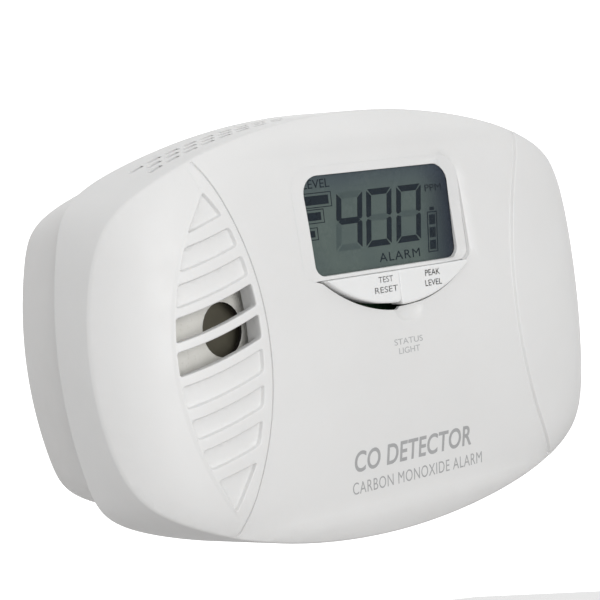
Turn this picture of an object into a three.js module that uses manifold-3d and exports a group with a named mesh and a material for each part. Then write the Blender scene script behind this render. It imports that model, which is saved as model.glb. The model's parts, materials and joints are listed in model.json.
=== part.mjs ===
// Carbon monoxide detector, wall mounted, three AA cells, segmented display.
// Millimetres. Origin at the centre of the wall bracket's rear face.
// +X right as seen from the front, +Y towards the wall, +Z up.
import * as THREE from 'three';
import { mergeVertices } from 'three/addons/utils/BufferGeometryUtils.js';
import Module from 'manifold-3d';

const wasm = await Module();
wasm.setup();

// ---------------------------------------------------------------- dimensions
const HALF_W = 79.0;          // half width of the front shell at the seam
const HALF_H = 54.9;          // half height of the front shell at the seam
const BOW_SIDE = 12.8;        // how far the side walls draw in at top and bottom
const BOW_TOP = 18.8;         // how far the top and bottom draw in at the sides
const Q_SEAM = 17.9;          // corner exponent at the seam
const Q_FACE = 7.4;           // rounder corner exponent at the face
const APEX = -62.0;           // y of the plane that touches the dome
const SEAM_D = 31.4;          // depth from that plane to the seam
const DRAFT_X = 0.025;        // taper of the front shell's width over that depth
const DRAFT_Z = 0.043;        // taper of its height
const DOME_Z = 0.0017;        // vertical curvature of the face
const CHEEK_FALL = 16.2;      // how far the cheeks fall away at the sides
const CHEEK_EXP = 6;
const EDGE_A = 12.8;          // soft shoulder between face and side wall: width
const EDGE_B = 3.1;           // and depth
const WALL = 2.2;             // shell wall thickness
const CHEEK = 0.9;            // height of the side cheeks over the middle panel

const REAR_IN_X = 2.6;        // the rear shell stands in from the front one
const REAR_IN_Z = 3.1;
const REAR_TAPER = 0.03;
const REAR_Y0 = -31.4;        // front of the rear shell's flange
const REAR_Y1 = -1.8;         // back face of the rear shell

const WIN_X = 23.4;                                 // display opening, half width
const WIN_Z0 = 13.4, WIN_Z1 = 37.75;
const RIM_X = 3.6;                                  // rim width at the sides
const RIM = 2.2;                                    // rim round the opening
const RIM_Y = -60.9;                                // rim front plane
const TEST_Y = -63.5, PEAK_Y = -62.5;               // key fronts

const PORT_X = -46.0, PORT_Z = 4.2;                 // sound port centre
const HORN_Y = -52.0;                               // front of the horn chamber

const PCB_Y0 = -48.7, PCB_Y1 = -47.1;               // main board

const CELL_R = 7.25, CELL_L = 49.5;                 // AA cell
const CELL_Z = [-7.4, -22.4, -37.4];
const CELL_Y = -12.0;

const DOOR_X = 29.0, DOOR_Z0 = -46.4, HINGE_Z = 0.8, HINGE_Y = -4.0;

const GAP = 0.3;

// ---------------------------------------------------------------- helpers
const parts = new THREE.Group();
parts.name = 'carbon_monoxide_detector';

function toSolid(geometry) {
  let g = geometry.clone();
  g.deleteAttribute('normal');
  g.deleteAttribute('uv');
  g = mergeVertices(g, 1e-4);
  return new wasm.Manifold(new wasm.Mesh({
    numProp: 3,
    vertProperties: new Float32Array(g.attributes.position.array),
    triVerts: new Uint32Array(g.index.array),
  }));
}

function toGeometry(solid) {
  const m = solid.getMesh();
  const g = new THREE.BufferGeometry();
  const pos = new Float32Array(m.numVert * 3);
  for (let i = 0; i < m.numVert; i += 1) {
    for (let k = 0; k < 3; k += 1) pos[i * 3 + k] = m.vertProperties[i * m.numProp + k];
  }
  g.setAttribute('position', new THREE.BufferAttribute(pos, 3));
  g.setIndex(new THREE.BufferAttribute(new Uint32Array(m.triVerts), 1));
  g.computeVertexNormals();
  return g;
}

function add(name, solid, color, roughness, metalness = 0, extra = {}) {
  const material = new THREE.MeshStandardMaterial({ color, roughness, metalness, ...extra });
  const mesh = new THREE.Mesh(toGeometry(solid), material);
  mesh.name = name;
  parts.add(mesh);
  return mesh;
}

function box(x0, x1, y0, y1, z0, z1) {
  const g = new THREE.BoxGeometry(x1 - x0, y1 - y0, z1 - z0);
  g.translate((x0 + x1) / 2, (y0 + y1) / 2, (z0 + z1) / 2);
  return toSolid(g);
}

// polygon in (x, z) pushed along Y
function plateY(points, y0, y1) {
  const shape = new THREE.Shape(points.map((p) => new THREE.Vector2(p[0], p[1])));
  const g = new THREE.ExtrudeGeometry(shape, { depth: y1 - y0, bevelEnabled: false });
  g.rotateX(Math.PI / 2);
  g.translate(0, y1, 0);
  return toSolid(g);
}

function rodY(x, z, r, y0, y1, seg = 24, r2 = r) {
  const g = new THREE.CylinderGeometry(r2, r, y1 - y0, seg);
  g.translate(x, (y0 + y1) / 2, z);
  return toSolid(g);
}

function rodX(y, z, r, x0, x1, seg = 20) {
  const g = new THREE.CylinderGeometry(r, r, x1 - x0, seg);
  g.rotateZ(-Math.PI / 2);
  g.translate((x0 + x1) / 2, y, z);
  return toSolid(g);
}

function roundedRect(x0, x1, z0, z1, r, n = 5, low = r) {
  const c = [
    [x1 - low, z0 + low, -90, low], [x1 - r, z1 - r, 0, r],
    [x0 + r, z1 - r, 90, r], [x0 + low, z0 + low, 180, low],
  ];
  const out = [];
  for (const [cx, cz, a0, rad] of c) {
    for (let i = 0; i <= n; i += 1) {
      const a = ((a0 + (90 * i) / n) * Math.PI) / 180;
      out.push([cx + rad * Math.cos(a), cz + rad * Math.sin(a)]);
    }
  }
  return out;
}

// ---------------------------------------------------------------- outline
// Bowed rounded rectangle: (|x| / a(z))^q + (|z| / h(x))^q = 1.
function outlineRadius(theta, inX = 0, inZ = 0, q = Q_SEAM) {
  const A = HALF_W - inX;
  const B = HALF_H - inZ;
  const c = Math.abs(Math.cos(theta));
  const s = Math.abs(Math.sin(theta));
  let lo = 20;
  let hi = 130;
  for (let i = 0; i < 60; i += 1) {
    const r = (lo + hi) / 2;
    const x = r * c;
    const z = r * s;
    const a = A - BOW_SIDE * (z / B) ** 2;
    const h = B - BOW_TOP * (x / A) ** 2;
    const f = a > 1 && h > 1 ? (x / a) ** q + (z / h) ** q : 2;
    if (f < 1) lo = r; else hi = r;
  }
  return (lo + hi) / 2;
}

// ring directions, closer together round the corners
const QUARTER = 15;
const THETAS = (() => {
  const n = 600;
  const p = [];
  for (let i = 0; i <= n; i += 1) {
    const t = ((Math.PI / 2) * i) / n;
    const r = outlineRadius(t);
    p.push([t, r * Math.cos(t), r * Math.sin(t)]);
  }
  const w = [0];
  for (let i = 1; i <= n; i += 1) {
    const l = Math.hypot(p[i][1] - p[i - 1][1], p[i][2] - p[i - 1][2]);
    let turn = 0;
    if (i < n) {
      const a0 = Math.atan2(p[i][2] - p[i - 1][2], p[i][1] - p[i - 1][1]);
      const a1 = Math.atan2(p[i + 1][2] - p[i][2], p[i + 1][1] - p[i][1]);
      turn = Math.abs(a1 - a0);
    }
    w.push(w[i - 1] + l + 55 * turn);
  }
  const q = [];
  for (let k = 0; k < QUARTER; k += 1) {
    const target = (w[n] * k) / QUARTER;
    let i = 1;
    while (w[i] < target) i += 1;
    const f = (target - w[i - 1]) / (w[i] - w[i - 1]);
    q.push(k === 0 ? 0 : p[i - 1][0] + f * (p[i][0] - p[i - 1][0]));
  }
  const all = [];
  for (let k = 0; k < QUARTER; k += 1) all.push(q[k]);
  all.push(Math.PI / 2);
  for (let k = QUARTER - 1; k > 0; k -= 1) all.push(Math.PI - q[k]);
  for (let k = 0; k < QUARTER; k += 1) all.push(Math.PI + q[k]);
  all.push((3 * Math.PI) / 2);
  for (let k = QUARTER - 1; k > 0; k -= 1) all.push(2 * Math.PI - q[k]);
  return all;
})();
const R_FRONT = THETAS.map((t) => outlineRadius(t));
const R_FACE = THETAS.map((t) => outlineRadius(t, 0, 0, Q_FACE));
const R_REAR = THETAS.map((t) => outlineRadius(t, REAR_IN_X, REAR_IN_Z));

// depth of the cheek surface; the middle panel lies CHEEK below it
function faceDepth(x, z) {
  return DOME_Z * z * z + CHEEK_FALL * (Math.abs(x) / 79) ** CHEEK_EXP - CHEEK / 2;
}

// closed solid from rings; first and last entries are single points
function loft(first, rings, last) {
  const n = THETAS.length;
  const v = [...first];
  for (const ring of rings) for (const p of ring) v.push(...p);
  v.push(...last);
  const idx = [];
  const id = (r, k) => 1 + r * n + (k % n);
  for (let k = 0; k < n; k += 1) idx.push(0, id(0, k), id(0, k + 1));
  for (let r = 0; r < rings.length - 1; r += 1) {
    for (let k = 0; k < n; k += 1) {
      idx.push(id(r, k), id(r + 1, k), id(r + 1, k + 1));
      idx.push(id(r, k), id(r + 1, k + 1), id(r, k + 1));
    }
  }
  const end = 1 + rings.length * n;
  for (let k = 0; k < n; k += 1) idx.push(end, id(rings.length - 1, k + 1), id(rings.length - 1, k));
  const g = new THREE.BufferGeometry();
  g.setAttribute('position', new THREE.BufferAttribute(new Float32Array(v), 3));
  g.setIndex(idx);
  return new wasm.Manifold(new wasm.Mesh({
    numProp: 3,
    vertProperties: new Float32Array(v),
    triVerts: new Uint32Array(idx),
  }));
}

// side wall of the front shell at depth d, moved inward by t
function wallXZ(k, d, t) {
  const u = 1 - Math.min(d, SEAM_D) / SEAM_D;
  const r = R_FRONT[k] * (1 - u) + R_FACE[k] * u;
  const x = r * Math.cos(THETAS[k]) * (1 - DRAFT_X * u);
  const z = r * Math.sin(THETAS[k]) * (1 - DRAFT_Z * u);
  const l = Math.hypot(x, z);
  return [(x * (l - t)) / l, (z * (l - t)) / l];
}

// where the shoulder meets the side wall, for each ring direction
const CREST = THETAS.map((_, k) => {
  let d = 10;
  for (let i = 0; i < 6; i += 1) {
    const [x, z] = wallXZ(k, d, 0);
    d = faceDepth(x, z) + EDGE_B;
  }
  const [x, z] = wallXZ(k, d, 0);
  const r = Math.hypot(x, z);
  return { d, r, c: x / r, s: z / r };
});

// front shell skin, moved inward by t: frac 0..1 across the face, 1..2 over the shoulder
function frontPoint(k, frac, t) {
  const { r: rw, c, s } = CREST[k];
  const rIn = rw - EDGE_A;
  let r;
  let e = 0;
  if (frac <= 1) {
    r = rIn * frac;
  } else {
    const a = ((frac - 1) * Math.PI) / 2;
    r = rIn + (EDGE_A - t) * Math.sin(a);
    e = EDGE_B * (1 - Math.cos(a));
  }
  const x = r * c;
  const z = r * s;
  return [x, APEX + faceDepth(x, z) + t + e, z];
}

function wallPoint(k, y, t) {
  const [x, z] = wallXZ(k, y - APEX, t);
  return [x, y, z];
}

const ring = (f) => THETAS.map((_, k) => f(k));
const SEAM_Y = APEX + SEAM_D;

const frontShell = (() => {
  const rings = [];
  for (const f of [0.3, 0.55, 0.75, 0.9, 1.0, 1.3, 1.55, 1.8]) rings.push(ring((k) => frontPoint(k, f, 0)));
  rings.push(ring((k) => {
    const p = frontPoint(k, 2, 0);
    return wallPoint(k, p[1], 0);
  }));
  rings.push(ring((k) => wallPoint(k, SEAM_Y, 0)));
  rings.push(ring((k) => wallPoint(k, SEAM_Y, WALL)));
  rings.push(ring((k) => {
    const p = frontPoint(k, 2, WALL);
    return wallPoint(k, p[1], WALL);
  }));
  for (const f of [1.5, 1.0, 0.75, 0.4]) rings.push(ring((k) => frontPoint(k, f, WALL)));
  return loft([0, APEX + faceDepth(0, 0), 0], rings, [0, APEX + faceDepth(0, 0) + WALL, 0]);
})();

// half-width of the middle panel
const panelHalf = (z) => 40.06 + 11.31 * (Math.abs(z) / 43.35) ** 2.1;

// the layer taken off between the cheeks, fading out towards top and bottom
function panelCut() {
  const nu = 10;
  const nv = 16;
  const zMax = 47;
  const top = [];
  const bot = [];
  for (let j = 0; j <= nv; j += 1) {
    const z = -zMax + (2 * zMax * j) / nv;
    const fade = Math.min(1, Math.max(0, (zMax - Math.abs(z)) / 5));
    for (let i = 0; i <= nu; i += 1) {
      const x = panelHalf(z) * (-1 + (2 * i) / nu);
      top.push([x, APEX - 4, z]);
      bot.push([x, APEX + faceDepth(x, z) - 0.15 + (CHEEK + 0.15) * fade, z]);
    }
  }
  const v = [...top.flat(), ...bot.flat()];
  const off = (nu + 1) * (nv + 1);
  const id = (i, j) => j * (nu + 1) + i;
  const idx = [];
  for (let j = 0; j < nv; j += 1) {
    for (let i = 0; i < nu; i += 1) {
      const a = id(i, j), b = id(i + 1, j), c = id(i + 1, j + 1), d = id(i, j + 1);
      idx.push(a, b, c, a, c, d);
      idx.push(off + a, off + c, off + b, off + a, off + d, off + c);
    }
  }
  const rim = [];
  for (let i = 0; i < nu; i += 1) rim.push(id(i, 0));
  for (let j = 0; j < nv; j += 1) rim.push(id(nu, j));
  for (let i = nu; i > 0; i -= 1) rim.push(id(i, nv));
  for (let j = nv; j > 0; j -= 1) rim.push(id(0, j));
  for (let k = 0; k < rim.length; k += 1) {
    const a = rim[k];
    const b = rim[(k + 1) % rim.length];
    idx.push(a, off + a, off + b, a, off + b, b);
  }
  return new wasm.Manifold(new wasm.Mesh({
    numProp: 3, vertProperties: new Float32Array(v), triVerts: new Uint32Array(idx),
  }));
}

// ---------------------------------------------------------------- louvres
// left edge of the louvre lens, and its right edge just inside the cheek rim
const lensLeft = (z) => {
  const t = (z + 1.0) / 38.5;
  return -62.95 + 10.7 * t * t + 1.4 * Math.abs(t) ** 4;
};
const lensRight = (z) => -(panelHalf(z) + 2.1 - 0.35 * Math.tanh(z / 8));
// a louvre line climbs towards the middle of the face
const louvreZ = (n, x) => {
  const u = (x + 63.2) / 21;
  return n + 3.86 * u + 2.24 * u * u;
};
function cellOutline(zLow, zHigh, inset) {
  // polygon of one cell between two louvre lines, clipped by the lens edges
  const n = 5;
  const low = [];
  const high = [];
  const find = (base, edge) => {
    // intersect louvre line with lens edge
    let x = -55;
    for (let i = 0; i < 40; i += 1) x = edge(louvreZ(base, x));
    return x;
  };
  const xl0 = find(zLow, lensLeft) + inset, xl1 = find(zHigh, lensLeft) + inset;
  const xr0 = find(zLow, lensRight) - inset, xr1 = find(zHigh, lensRight) - inset;
  for (let i = 0; i <= n; i += 1) {
    const a = xl0 + ((xr0 - xl0) * i) / n;
    low.push([a, louvreZ(zLow, a)]);
    const b = xr1 + ((xl1 - xr1) * i) / n;
    high.push([b, louvreZ(zHigh, b)]);
  }
  return [...low, ...high];
}

// lower and upper louvre line of each cell
const OPEN_CELLS = [[-4.45, 1.05], [3.25, 8.65]];
const BLIND_CELLS = [[10.85, 15.8], [18.5, 23.4], [-12.2, -6.9], [-19.85, -15.1], [-27.9, -22.8]];

// ---------------------------------------------------------------- front cover
let cover = frontShell;
cover = cover.subtract(panelCut());

// inner rib along the closed ends of the open slots
{
  const pts = [];
  const n = 6;
  for (let i = 0; i <= n; i += 1) {
    const z = -3.5 + (21 * i) / n;
    pts.push([lensRight(z) - 0.2, z]);
  }
  for (let i = n; i >= 0; i -= 1) {
    const z = -3.5 + (21 * i) / n;
    pts.push([lensRight(z) + 1.4, z]);
  }
  cover = cover.add(plateY(pts, -60.4, -56.4));
}
for (const [low, high] of OPEN_CELLS) cover = cover.subtract(plateY(cellOutline(low, high, 0), -66, -50));
for (const [low, high] of BLIND_CELLS) {
  // blind cells are sunk by a set depth below the cheek
  const pts = cellOutline(low, high, 0);
  const cx = pts.reduce((a, p) => a + p[0], 0) / pts.length;
  const cz = pts.reduce((a, p) => a + p[1], 0) / pts.length;
  cover = cover.subtract(plateY(pts, -66, APEX + faceDepth(cx, cz) + 1.1));
}
{
  const topTri = [[-56.6, 27.7], [-47.6, 30.9], [-51.2, 36.6]];
  cover = cover.subtract(plateY(topTri, -66, APEX + faceDepth(-52, 31) + 1.1));
  const botTri = [[-56.4, -29.6], [-52.3, -37.6], [-46.6, -27.0]];
  cover = cover.subtract(plateY(botTri, -66, APEX + faceDepth(-52, -31) + 1.1));
}

// display and key openings
cover = cover.subtract(plateY(
  roundedRect(-WIN_X - RIM_X - GAP, WIN_X + RIM_X + GAP, 12.0, WIN_Z1 + RIM + GAP, 6.7, 5, 3.3), -68, -56));
// square-cornered seat behind it for the display glass
cover = cover.subtract(plateY(roundedRect(-27.2, 24.9, 12.5, 39.3, 0.8, 2), -58.4, -55));
const KEY_TOP = 12.4;
const KEY_LOW = 3.7;
const KEY_R = 36.0;
const KEY_CX = 1.4;
const KEY_X0 = -21.9, KEY_SEAM = 0.45, KEY_X1 = 24.0;
// lower edge of the half-moon key pair
const keyArc = (x) => KEY_LOW + KEY_R - Math.sqrt(KEY_R * KEY_R - (x - KEY_CX) ** 2);
// the left key's edge lifts off that arc towards the seam
const testEdge = (x) => keyArc(x) - 0.15 + 1.0 * Math.max(0, (x + 21) / 21) ** 1.3;
{
  const pts = [];
  for (let i = 0; i <= 8; i += 1) {
    const x = KEY_X0 - 0.6 + (KEY_SEAM - 0.1 - KEY_X0 + 0.6) * (i / 8);
    pts.push([x, Math.min(12.2, keyArc(x) - 0.6 - 0.5 * (i / 8))]);
  }
  for (let i = 0; i <= 7; i += 1) {
    const x = KEY_SEAM + 0.6 + (KEY_X1 + 0.4 - KEY_SEAM - 0.6) * (i / 7);
    pts.push([x, Math.min(12.2, keyArc(x) - 0.4)]);
  }
  pts.push([KEY_X1 + 0.4, 13.0], [KEY_X0 - 0.6, 13.0]);
  cover = cover.subtract(plateY(pts, -68, -56));
}

// small scoop under the key seam
{
  const g = new THREE.SphereGeometry(5.2, 16, 12);
  g.scale(0.75, 0.42, 0.6);
  g.translate(3.2, -62.2, 2.6);
  cover = cover.subtract(toSolid(g));
}

// three staggered rows of vent slots through the top wall
const ventRows = [[-48.2, 0], [-44.4, 2.6], [-40.6, 0]];
for (const [y, shift] of ventRows) {
  for (let i = 0; i < 8; i += 1) {
    const x = -58.2 + shift + i * 5.2;
    cover = cover.subtract(box(x, x + 3.6, y, y + 1.9, 36, 58));
  }
}

// screw bosses
const SCREWS = [[-54, 32], [54, 32], [-54, -32], [54, -32]];
for (const [x, z] of SCREWS) {
  const y0 = APEX + faceDepth(x, z) + 1.2;
  cover = cover.add(rodY(x, z, 3.6, y0, REAR_Y0 - 1.4, 16));
  cover = cover.subtract(rodY(x, z, 1.55, -47, REAR_Y0 + 1, 12));
}
add('front_cover', cover, 0xe6e5e1, 0.55);

// ---------------------------------------------------------------- display
const bezelOuter = plateY(
  roundedRect(-WIN_X - RIM_X, WIN_X + RIM_X, KEY_TOP + GAP, WIN_Z1 + RIM, 6.4, 6, 3.0), RIM_Y, -58.4);
const bezelHole = plateY(roundedRect(-WIN_X, WIN_X, WIN_Z0, WIN_Z1, 4.9, 6, 2.8), RIM_Y - 1, -59.8);
const bezelPocket = plateY(
  roundedRect(-WIN_X - 1.1, WIN_X + 1.1, WIN_Z0 - 0.1, WIN_Z1 + 1.1, 3.0, 4), -60.2, -57);
add('display_bezel', bezelOuter.subtract(bezelHole).subtract(bezelPocket), 0xe6e5e1, 0.5);

add('display_window',
  plateY(roundedRect(-WIN_X - 0.8, WIN_X + 0.8, WIN_Z0 + 0.2, WIN_Z1 + 0.8, 2.8, 4), -59.9, -58.7),
  0xdfe6ea, 0.08, 0, { transparent: true, opacity: 0.35 });

add('lcd_glass', box(-26.6, 24.3, -58.1, -54.5, 13.0, 38.8), 0x3c4a50, 0.25);
{
  const frame = box(-29.4, 29.4, -54.2, -49.0, 10.4, 41.4)
    .subtract(box(-26.9, 26.9, -57.2, -48, 12.6, 39.2))
    .add(box(-29.4, -26.9, -57.1, -54.0, 14, 38))
    .add(box(24.6, 26.9, -57.1, -54.5, 14, 38)).add(box(26.9, 29.4, -57.1, -54.0, 14, 38));
  add('lcd_frame', frame, 0xd8d8d4, 0.6);
}
add('lcd_strip_top', box(-25.8, 25.8, -54.2, -49.0, 36.0, 38.4), 0xe07a8a, 0.7);
add('lcd_strip_bottom', box(-25.8, 25.8, -54.2, -49.0, 13.4, 15.8), 0xe07a8a, 0.7);

// ---------------------------------------------------------------- keys
function keyOutline(x0, x1, edge) {
  const pts = [];
  const n = 12;
  for (let i = 0; i <= n; i += 1) {
    const x = x0 + ((x1 - x0) * i) / n;
    pts.push([x, Math.min(KEY_TOP - 0.25, edge(x))]);
  }
  pts.push([x1, KEY_TOP], [x0, KEY_TOP]);
  return pts;
}
const TEST_STEM = [-9.5, 8.6];
const PEAK_STEM = [9.5, 8.6];
{
  // hollow cap with a push post
  const cap = plateY(keyOutline(KEY_X0, KEY_SEAM - 0.25, testEdge), TEST_Y, -58.0)
    .subtract(plateY([[-16.5, 11.2], [-14, 8.9], [-8, 6.6], [-1.5, 6.0], [-1.5, 11.2]], TEST_Y + 1.6, -57));
  add('test_button', cap.add(rodY(...TEST_STEM, 1.5, TEST_Y + 1.2, -53.9, 14)), 0xebebe8, 0.5);
}
{
  const cap = plateY(keyOutline(KEY_SEAM + 0.25, KEY_X1, (x) => keyArc(x) + 0.05), PEAK_Y, -58.0)
    .subtract(plateY([[1.5, 11.2], [1.5, 5.5], [8, 6.2], [14, 8.6], [17.5, 11.2]], PEAK_Y + 1.6, -57));
  add('peak_button', cap.add(rodY(...PEAK_STEM, 1.5, PEAK_Y + 1.2, -53.9, 14)), 0xebebe8, 0.5);
}
for (const [name, p] of [['test', TEST_STEM], ['peak', PEAK_STEM]]) {
  const [x, z] = p;
  add(`${name}_plunger`, rodY(x, z, 1.5, -53.6, -51.9, 14), 0x2a2a2a, 0.5);
  add(`${name}_switch`, box(x - 3, x + 3, -51.0, -49.0, z - 3, z + 1.6)
    .subtract(rodY(x, z, 1.9, -52, -50.4, 14)), 0x202022, 0.5);
}

// ---------------------------------------------------------------- main board
{
  let board = box(-26.0, 64.0, PCB_Y0, PCB_Y1, -40, 43);
  board = board.subtract(box(48.5, 70, -50, -46, 26.5, 50)).subtract(box(48.5, 70, -50, -46, -50, -26.5));
  board = board.subtract(rodY(-20, 38, 1.6, -50, -46, 12)).subtract(rodY(-20, -36, 1.6, -50, -46, 12));
  add('main_board', board, 0x2f6b3c, 0.5);
}
add('microcontroller', box(30, 40, -46.8, -45.0, 4, 14), 0x1d1d1f, 0.5);
add('horn_driver_coil', rodY(-14, -20, 4.2, -46.8, -38.8, 20), 0x1c1c1e, 0.5);
add('capacitor_main', rodY(-14, -32, 4.0, -46.8, -35.0, 20), 0x23262b, 0.4);
add('capacitor_small', rodY(-2, -33, 2.6, -46.8, -39.5, 16), 0x23262b, 0.4);
add('alarm_led', rodY(3.2, 0.2, 1.5, -58.6, -49.0, 16).add(rodY(3.2, 0.2, 1.9, -49.9, -49.0, 16)), 0xc8c8c8, 0.2);
add('sensor_can', rodY(50, 0, 9.5, -46.8, -33.4, 32), 0xb9bcc0, 0.35, 0.9);
add('sensor_cap', rodY(50, 0, 8.6, -33.1, -31.0, 32).subtract(rodY(50, 0, 2.0, -34, -30, 16)), 0xf0f0ee, 0.6);

// ---------------------------------------------------------------- horn
{
  let chamber = rodY(PORT_X, PORT_Z, 17.0, HORN_Y, -40.0, 40)
    .subtract(rodY(PORT_X, PORT_Z, 15.2, HORN_Y + 1.6, -39, 40));
  const port = new THREE.CylinderGeometry(5.4, 5.4, 6, 28);
  port.scale(1, 1, 1.2);
  port.translate(PORT_X, HORN_Y + 0.5, PORT_Z);
  chamber = chamber.subtract(toSolid(port));
  add('horn_chamber', chamber, 0xd9d4c8, 0.6);
}
// perforation-free baffle that closes the view through the port
add('horn_baffle', rodY(PORT_X, PORT_Z, 14.8, -46.8, -46.0, 36), 0x4a4436, 0.7);
add('horn_disc', rodY(PORT_X, PORT_Z, 16.5, -39.7, -39.2, 40), 0xb8933f, 0.35, 0.9);
add('horn_ceramic', rodY(PORT_X, PORT_Z, 12.0, -38.9, -38.5, 32), 0xe8e4da, 0.6);

// ---------------------------------------------------------------- rear housing
const rearAt = (k, y, t) => {
  const f = (y - REAR_Y0) / (REAR_Y1 - REAR_Y0);
  const r = R_REAR[k] * (1 - REAR_TAPER * Math.max(0, f)) - t;
  return [r * Math.cos(THETAS[k]), y, r * Math.sin(THETAS[k])];
};
const flangeAt = (k, y) => {
  const r = wallPoint(k, y, WALL + GAP);
  return r;
};
let rear = (() => {
  const rings = [];
  // back face outward edge, up the outside, out along the flange, back inside
  rings.push(ring((k) => rearAt(k, REAR_Y0 - 3.2, 2.0)));
  rings.push(ring((k) => flangeAt(k, REAR_Y0 - 3.2)));
  rings.push(ring((k) => flangeAt(k, REAR_Y0)));
  rings.push(ring((k) => rearAt(k, REAR_Y0, 0)));
  rings.push(ring((k) => rearAt(k, REAR_Y1 - 2.5, 0)));
  rings.push(ring((k) => rearAt(k, REAR_Y1 - 0.7, 0.8)));
  rings.push(ring((k) => rearAt(k, REAR_Y1, 2.6)));
  // the inside is cut afterwards
  return loft([0, REAR_Y0 - 3.2, 0], rings, [0, REAR_Y1, 0]);
})();
const rearInner = (() => {
  const rings = [];
  rings.push(ring((k) => rearAt(k, REAR_Y0 - 8, 2.0)));
  rings.push(ring((k) => rearAt(k, REAR_Y1 - 5.0, 2.0)));
  rings.push(ring((k) => rearAt(k, REAR_Y1 - 2.4, 4.4)));
  return loft([0, REAR_Y0 - 8, 0], rings, [0, REAR_Y1 - 2.4, 0]);
})();
const rearOuter = rear;
rear = rear.subtract(rearInner);
const addInside = (solid) => { rear = rear.add(solid.intersect(rearOuter)); };

// bracket recess: a stepped pocket moulded into the back wall
const BR_X = 40, BR_Z0 = 14, BR_Z1 = 38, LIFT = 8;
const BR_Y0 = -2.8, BR_Y1 = 0;
addInside(box(-BR_X - 3, BR_X + 3, -6.0, -3.5, BR_Z0 - LIFT - 2.6, BR_Z1 + 3));
// battery compartment box
const CMP_X = DOOR_X + GAP;
addInside(box(-CMP_X - 2, CMP_X + 2, -22.0, -3.5, DOOR_Z0 - GAP - 1.8, 4.9));
rear = rear.subtract(box(-CMP_X, CMP_X, -20.2, 1, DOOR_Z0 - GAP, 3.1));
rear = rear.subtract(box(-BR_X - 0.6, BR_X + 0.6, -3.4, 1, BR_Z0 - LIFT - 0.6, BR_Z1 + 0.6));

// cradle ribs between the cells
for (const z of [-14.9, -29.9]) {
  rear = rear.add(plateY([[-24, z - 0.3], [24, z - 0.3], [24, z + 0.3], [-24, z + 0.3]], -20.6, -16.5));
}

// hinge pin sockets
for (const s of [-1, 1]) {
  const a = s < 0 ? -CMP_X - 2 : CMP_X - 0.5;
  const b = s < 0 ? -CMP_X + 0.5 : CMP_X + 2;
  rear = rear.subtract(rodX(HINGE_Y, HINGE_Z, 1.35, a + (s < 0 ? 0.8 : 0), b - (s < 0 ? 0 : 0.8), 16));
}
// latch notch in the lower edge of the door opening
rear = rear.subtract(box(-6.3, 6.3, -4.4, 1, DOOR_Z0 - GAP - 2.6, DOOR_Z0));

// slots for the bracket hooks, and clearance for the wall screw heads
const HOOK_X = 32, HOOK_Z = 27;             // top of the hook stem
for (const s of [-1, 1]) {
  rear = rear.subtract(box(s * HOOK_X - 5.5, s * HOOK_X + 5.5, -8, 0, HOOK_Z - 13.2, HOOK_Z + GAP));
}
const SCREW_X = 18, SCREW_Z = 26;
for (const s of [-1, 1]) {
  rear = rear.add(box(s * SCREW_X - 8, s * SCREW_X + 8, -9.6, -5.5, SCREW_Z - LIFT - 9.5, SCREW_Z + 9));
  rear = rear.subtract(box(s * SCREW_X - 6.2, s * SCREW_X + 6.2, -7.8, -3, SCREW_Z - LIFT - 7.6, SCREW_Z + 7));
}

// screw posts with deep head wells
for (const [x, z] of SCREWS) {
  rear = rear.add(rodY(x, z, 4.6, REAR_Y0 - 1.0, -3.5, 20));
  rear = rear.subtract(rodY(x, z, 3.2, REAR_Y0 + 3.4, 1, 20));
  rear = rear.subtract(rodY(x, z, 1.75, REAR_Y0 - 3, 1, 16));
}
// support ring for the horn
{
  const tube = rodY(PORT_X, PORT_Z, 15.8, -37.6, -3.6, 32)
    .subtract(rodY(PORT_X, PORT_Z, 14.2, -38.6, -3.0, 32))
    .subtract(box(-38.5, -26, -10, -3, 11, 36));
  rear = rear.add(tube);
}
add('rear_housing', rear, 0xdedcd8, 0.55);

// ---------------------------------------------------------------- case screws
SCREWS.forEach(([x, z], i) => {
  const head = rodY(x, z, 2.8, REAR_Y0 + 3.7, REAR_Y0 + 5.6, 16, 2.4);
  const shank = rodY(x, z, 1.25, -44, REAR_Y0 + 4.0, 12);
  const drive = box(x - 1.5, x + 1.5, REAR_Y0 + 4.8, REAR_Y0 + 7, z - 0.3, z + 0.3)
    .add(box(x - 0.3, x + 0.3, REAR_Y0 + 4.8, REAR_Y0 + 7, z - 1.5, z + 1.5));
  add(`case_screw_${i + 1}`, head.add(shank).subtract(drive), 0xb4b6b9, 0.35, 0.9);
});

// ---------------------------------------------------------------- battery door
{
  let door = box(-DOOR_X, DOOR_X, -3.8, -2.0, DOOR_Z0, HINGE_Z);
  door = door.add(rodX(HINGE_Y, HINGE_Z, 1.9, -DOOR_X + 1.5, DOOR_X - 1.5, 20));
  door = door.add(rodX(HINGE_Y, HINGE_Z, 1.0, -DOOR_X - 1.2, DOOR_X + 1.2, 16));
  // stiffening ribs on the inside
  for (const x of [-20, 0, 20]) door = door.add(box(x - 0.6, x + 0.6, -4.5, -3.5, DOOR_Z0 + 6, HINGE_Z - 4));
  // flexible latch tab between two relief slots
  door = door.subtract(box(-6.6, -5.8, -5, 0, DOOR_Z0 - 1, DOOR_Z0 + 8));
  door = door.subtract(box(5.8, 6.6, -5, 0, DOOR_Z0 - 1, DOOR_Z0 + 8));
  door = door.add(box(-5.6, 5.6, -3.6, -2.0, DOOR_Z0 - 1.8, DOOR_Z0 + 1));
  // finger grooves
  for (let i = 0; i < 4; i += 1) {
    const z = DOOR_Z0 + 2.2 + i * 1.5;
    door = door.subtract(box(-4.6, 4.6, -2.5, -1, z, z + 0.7));
  }
  add('battery_door', door, 0xdedcd8, 0.55);
}

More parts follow.
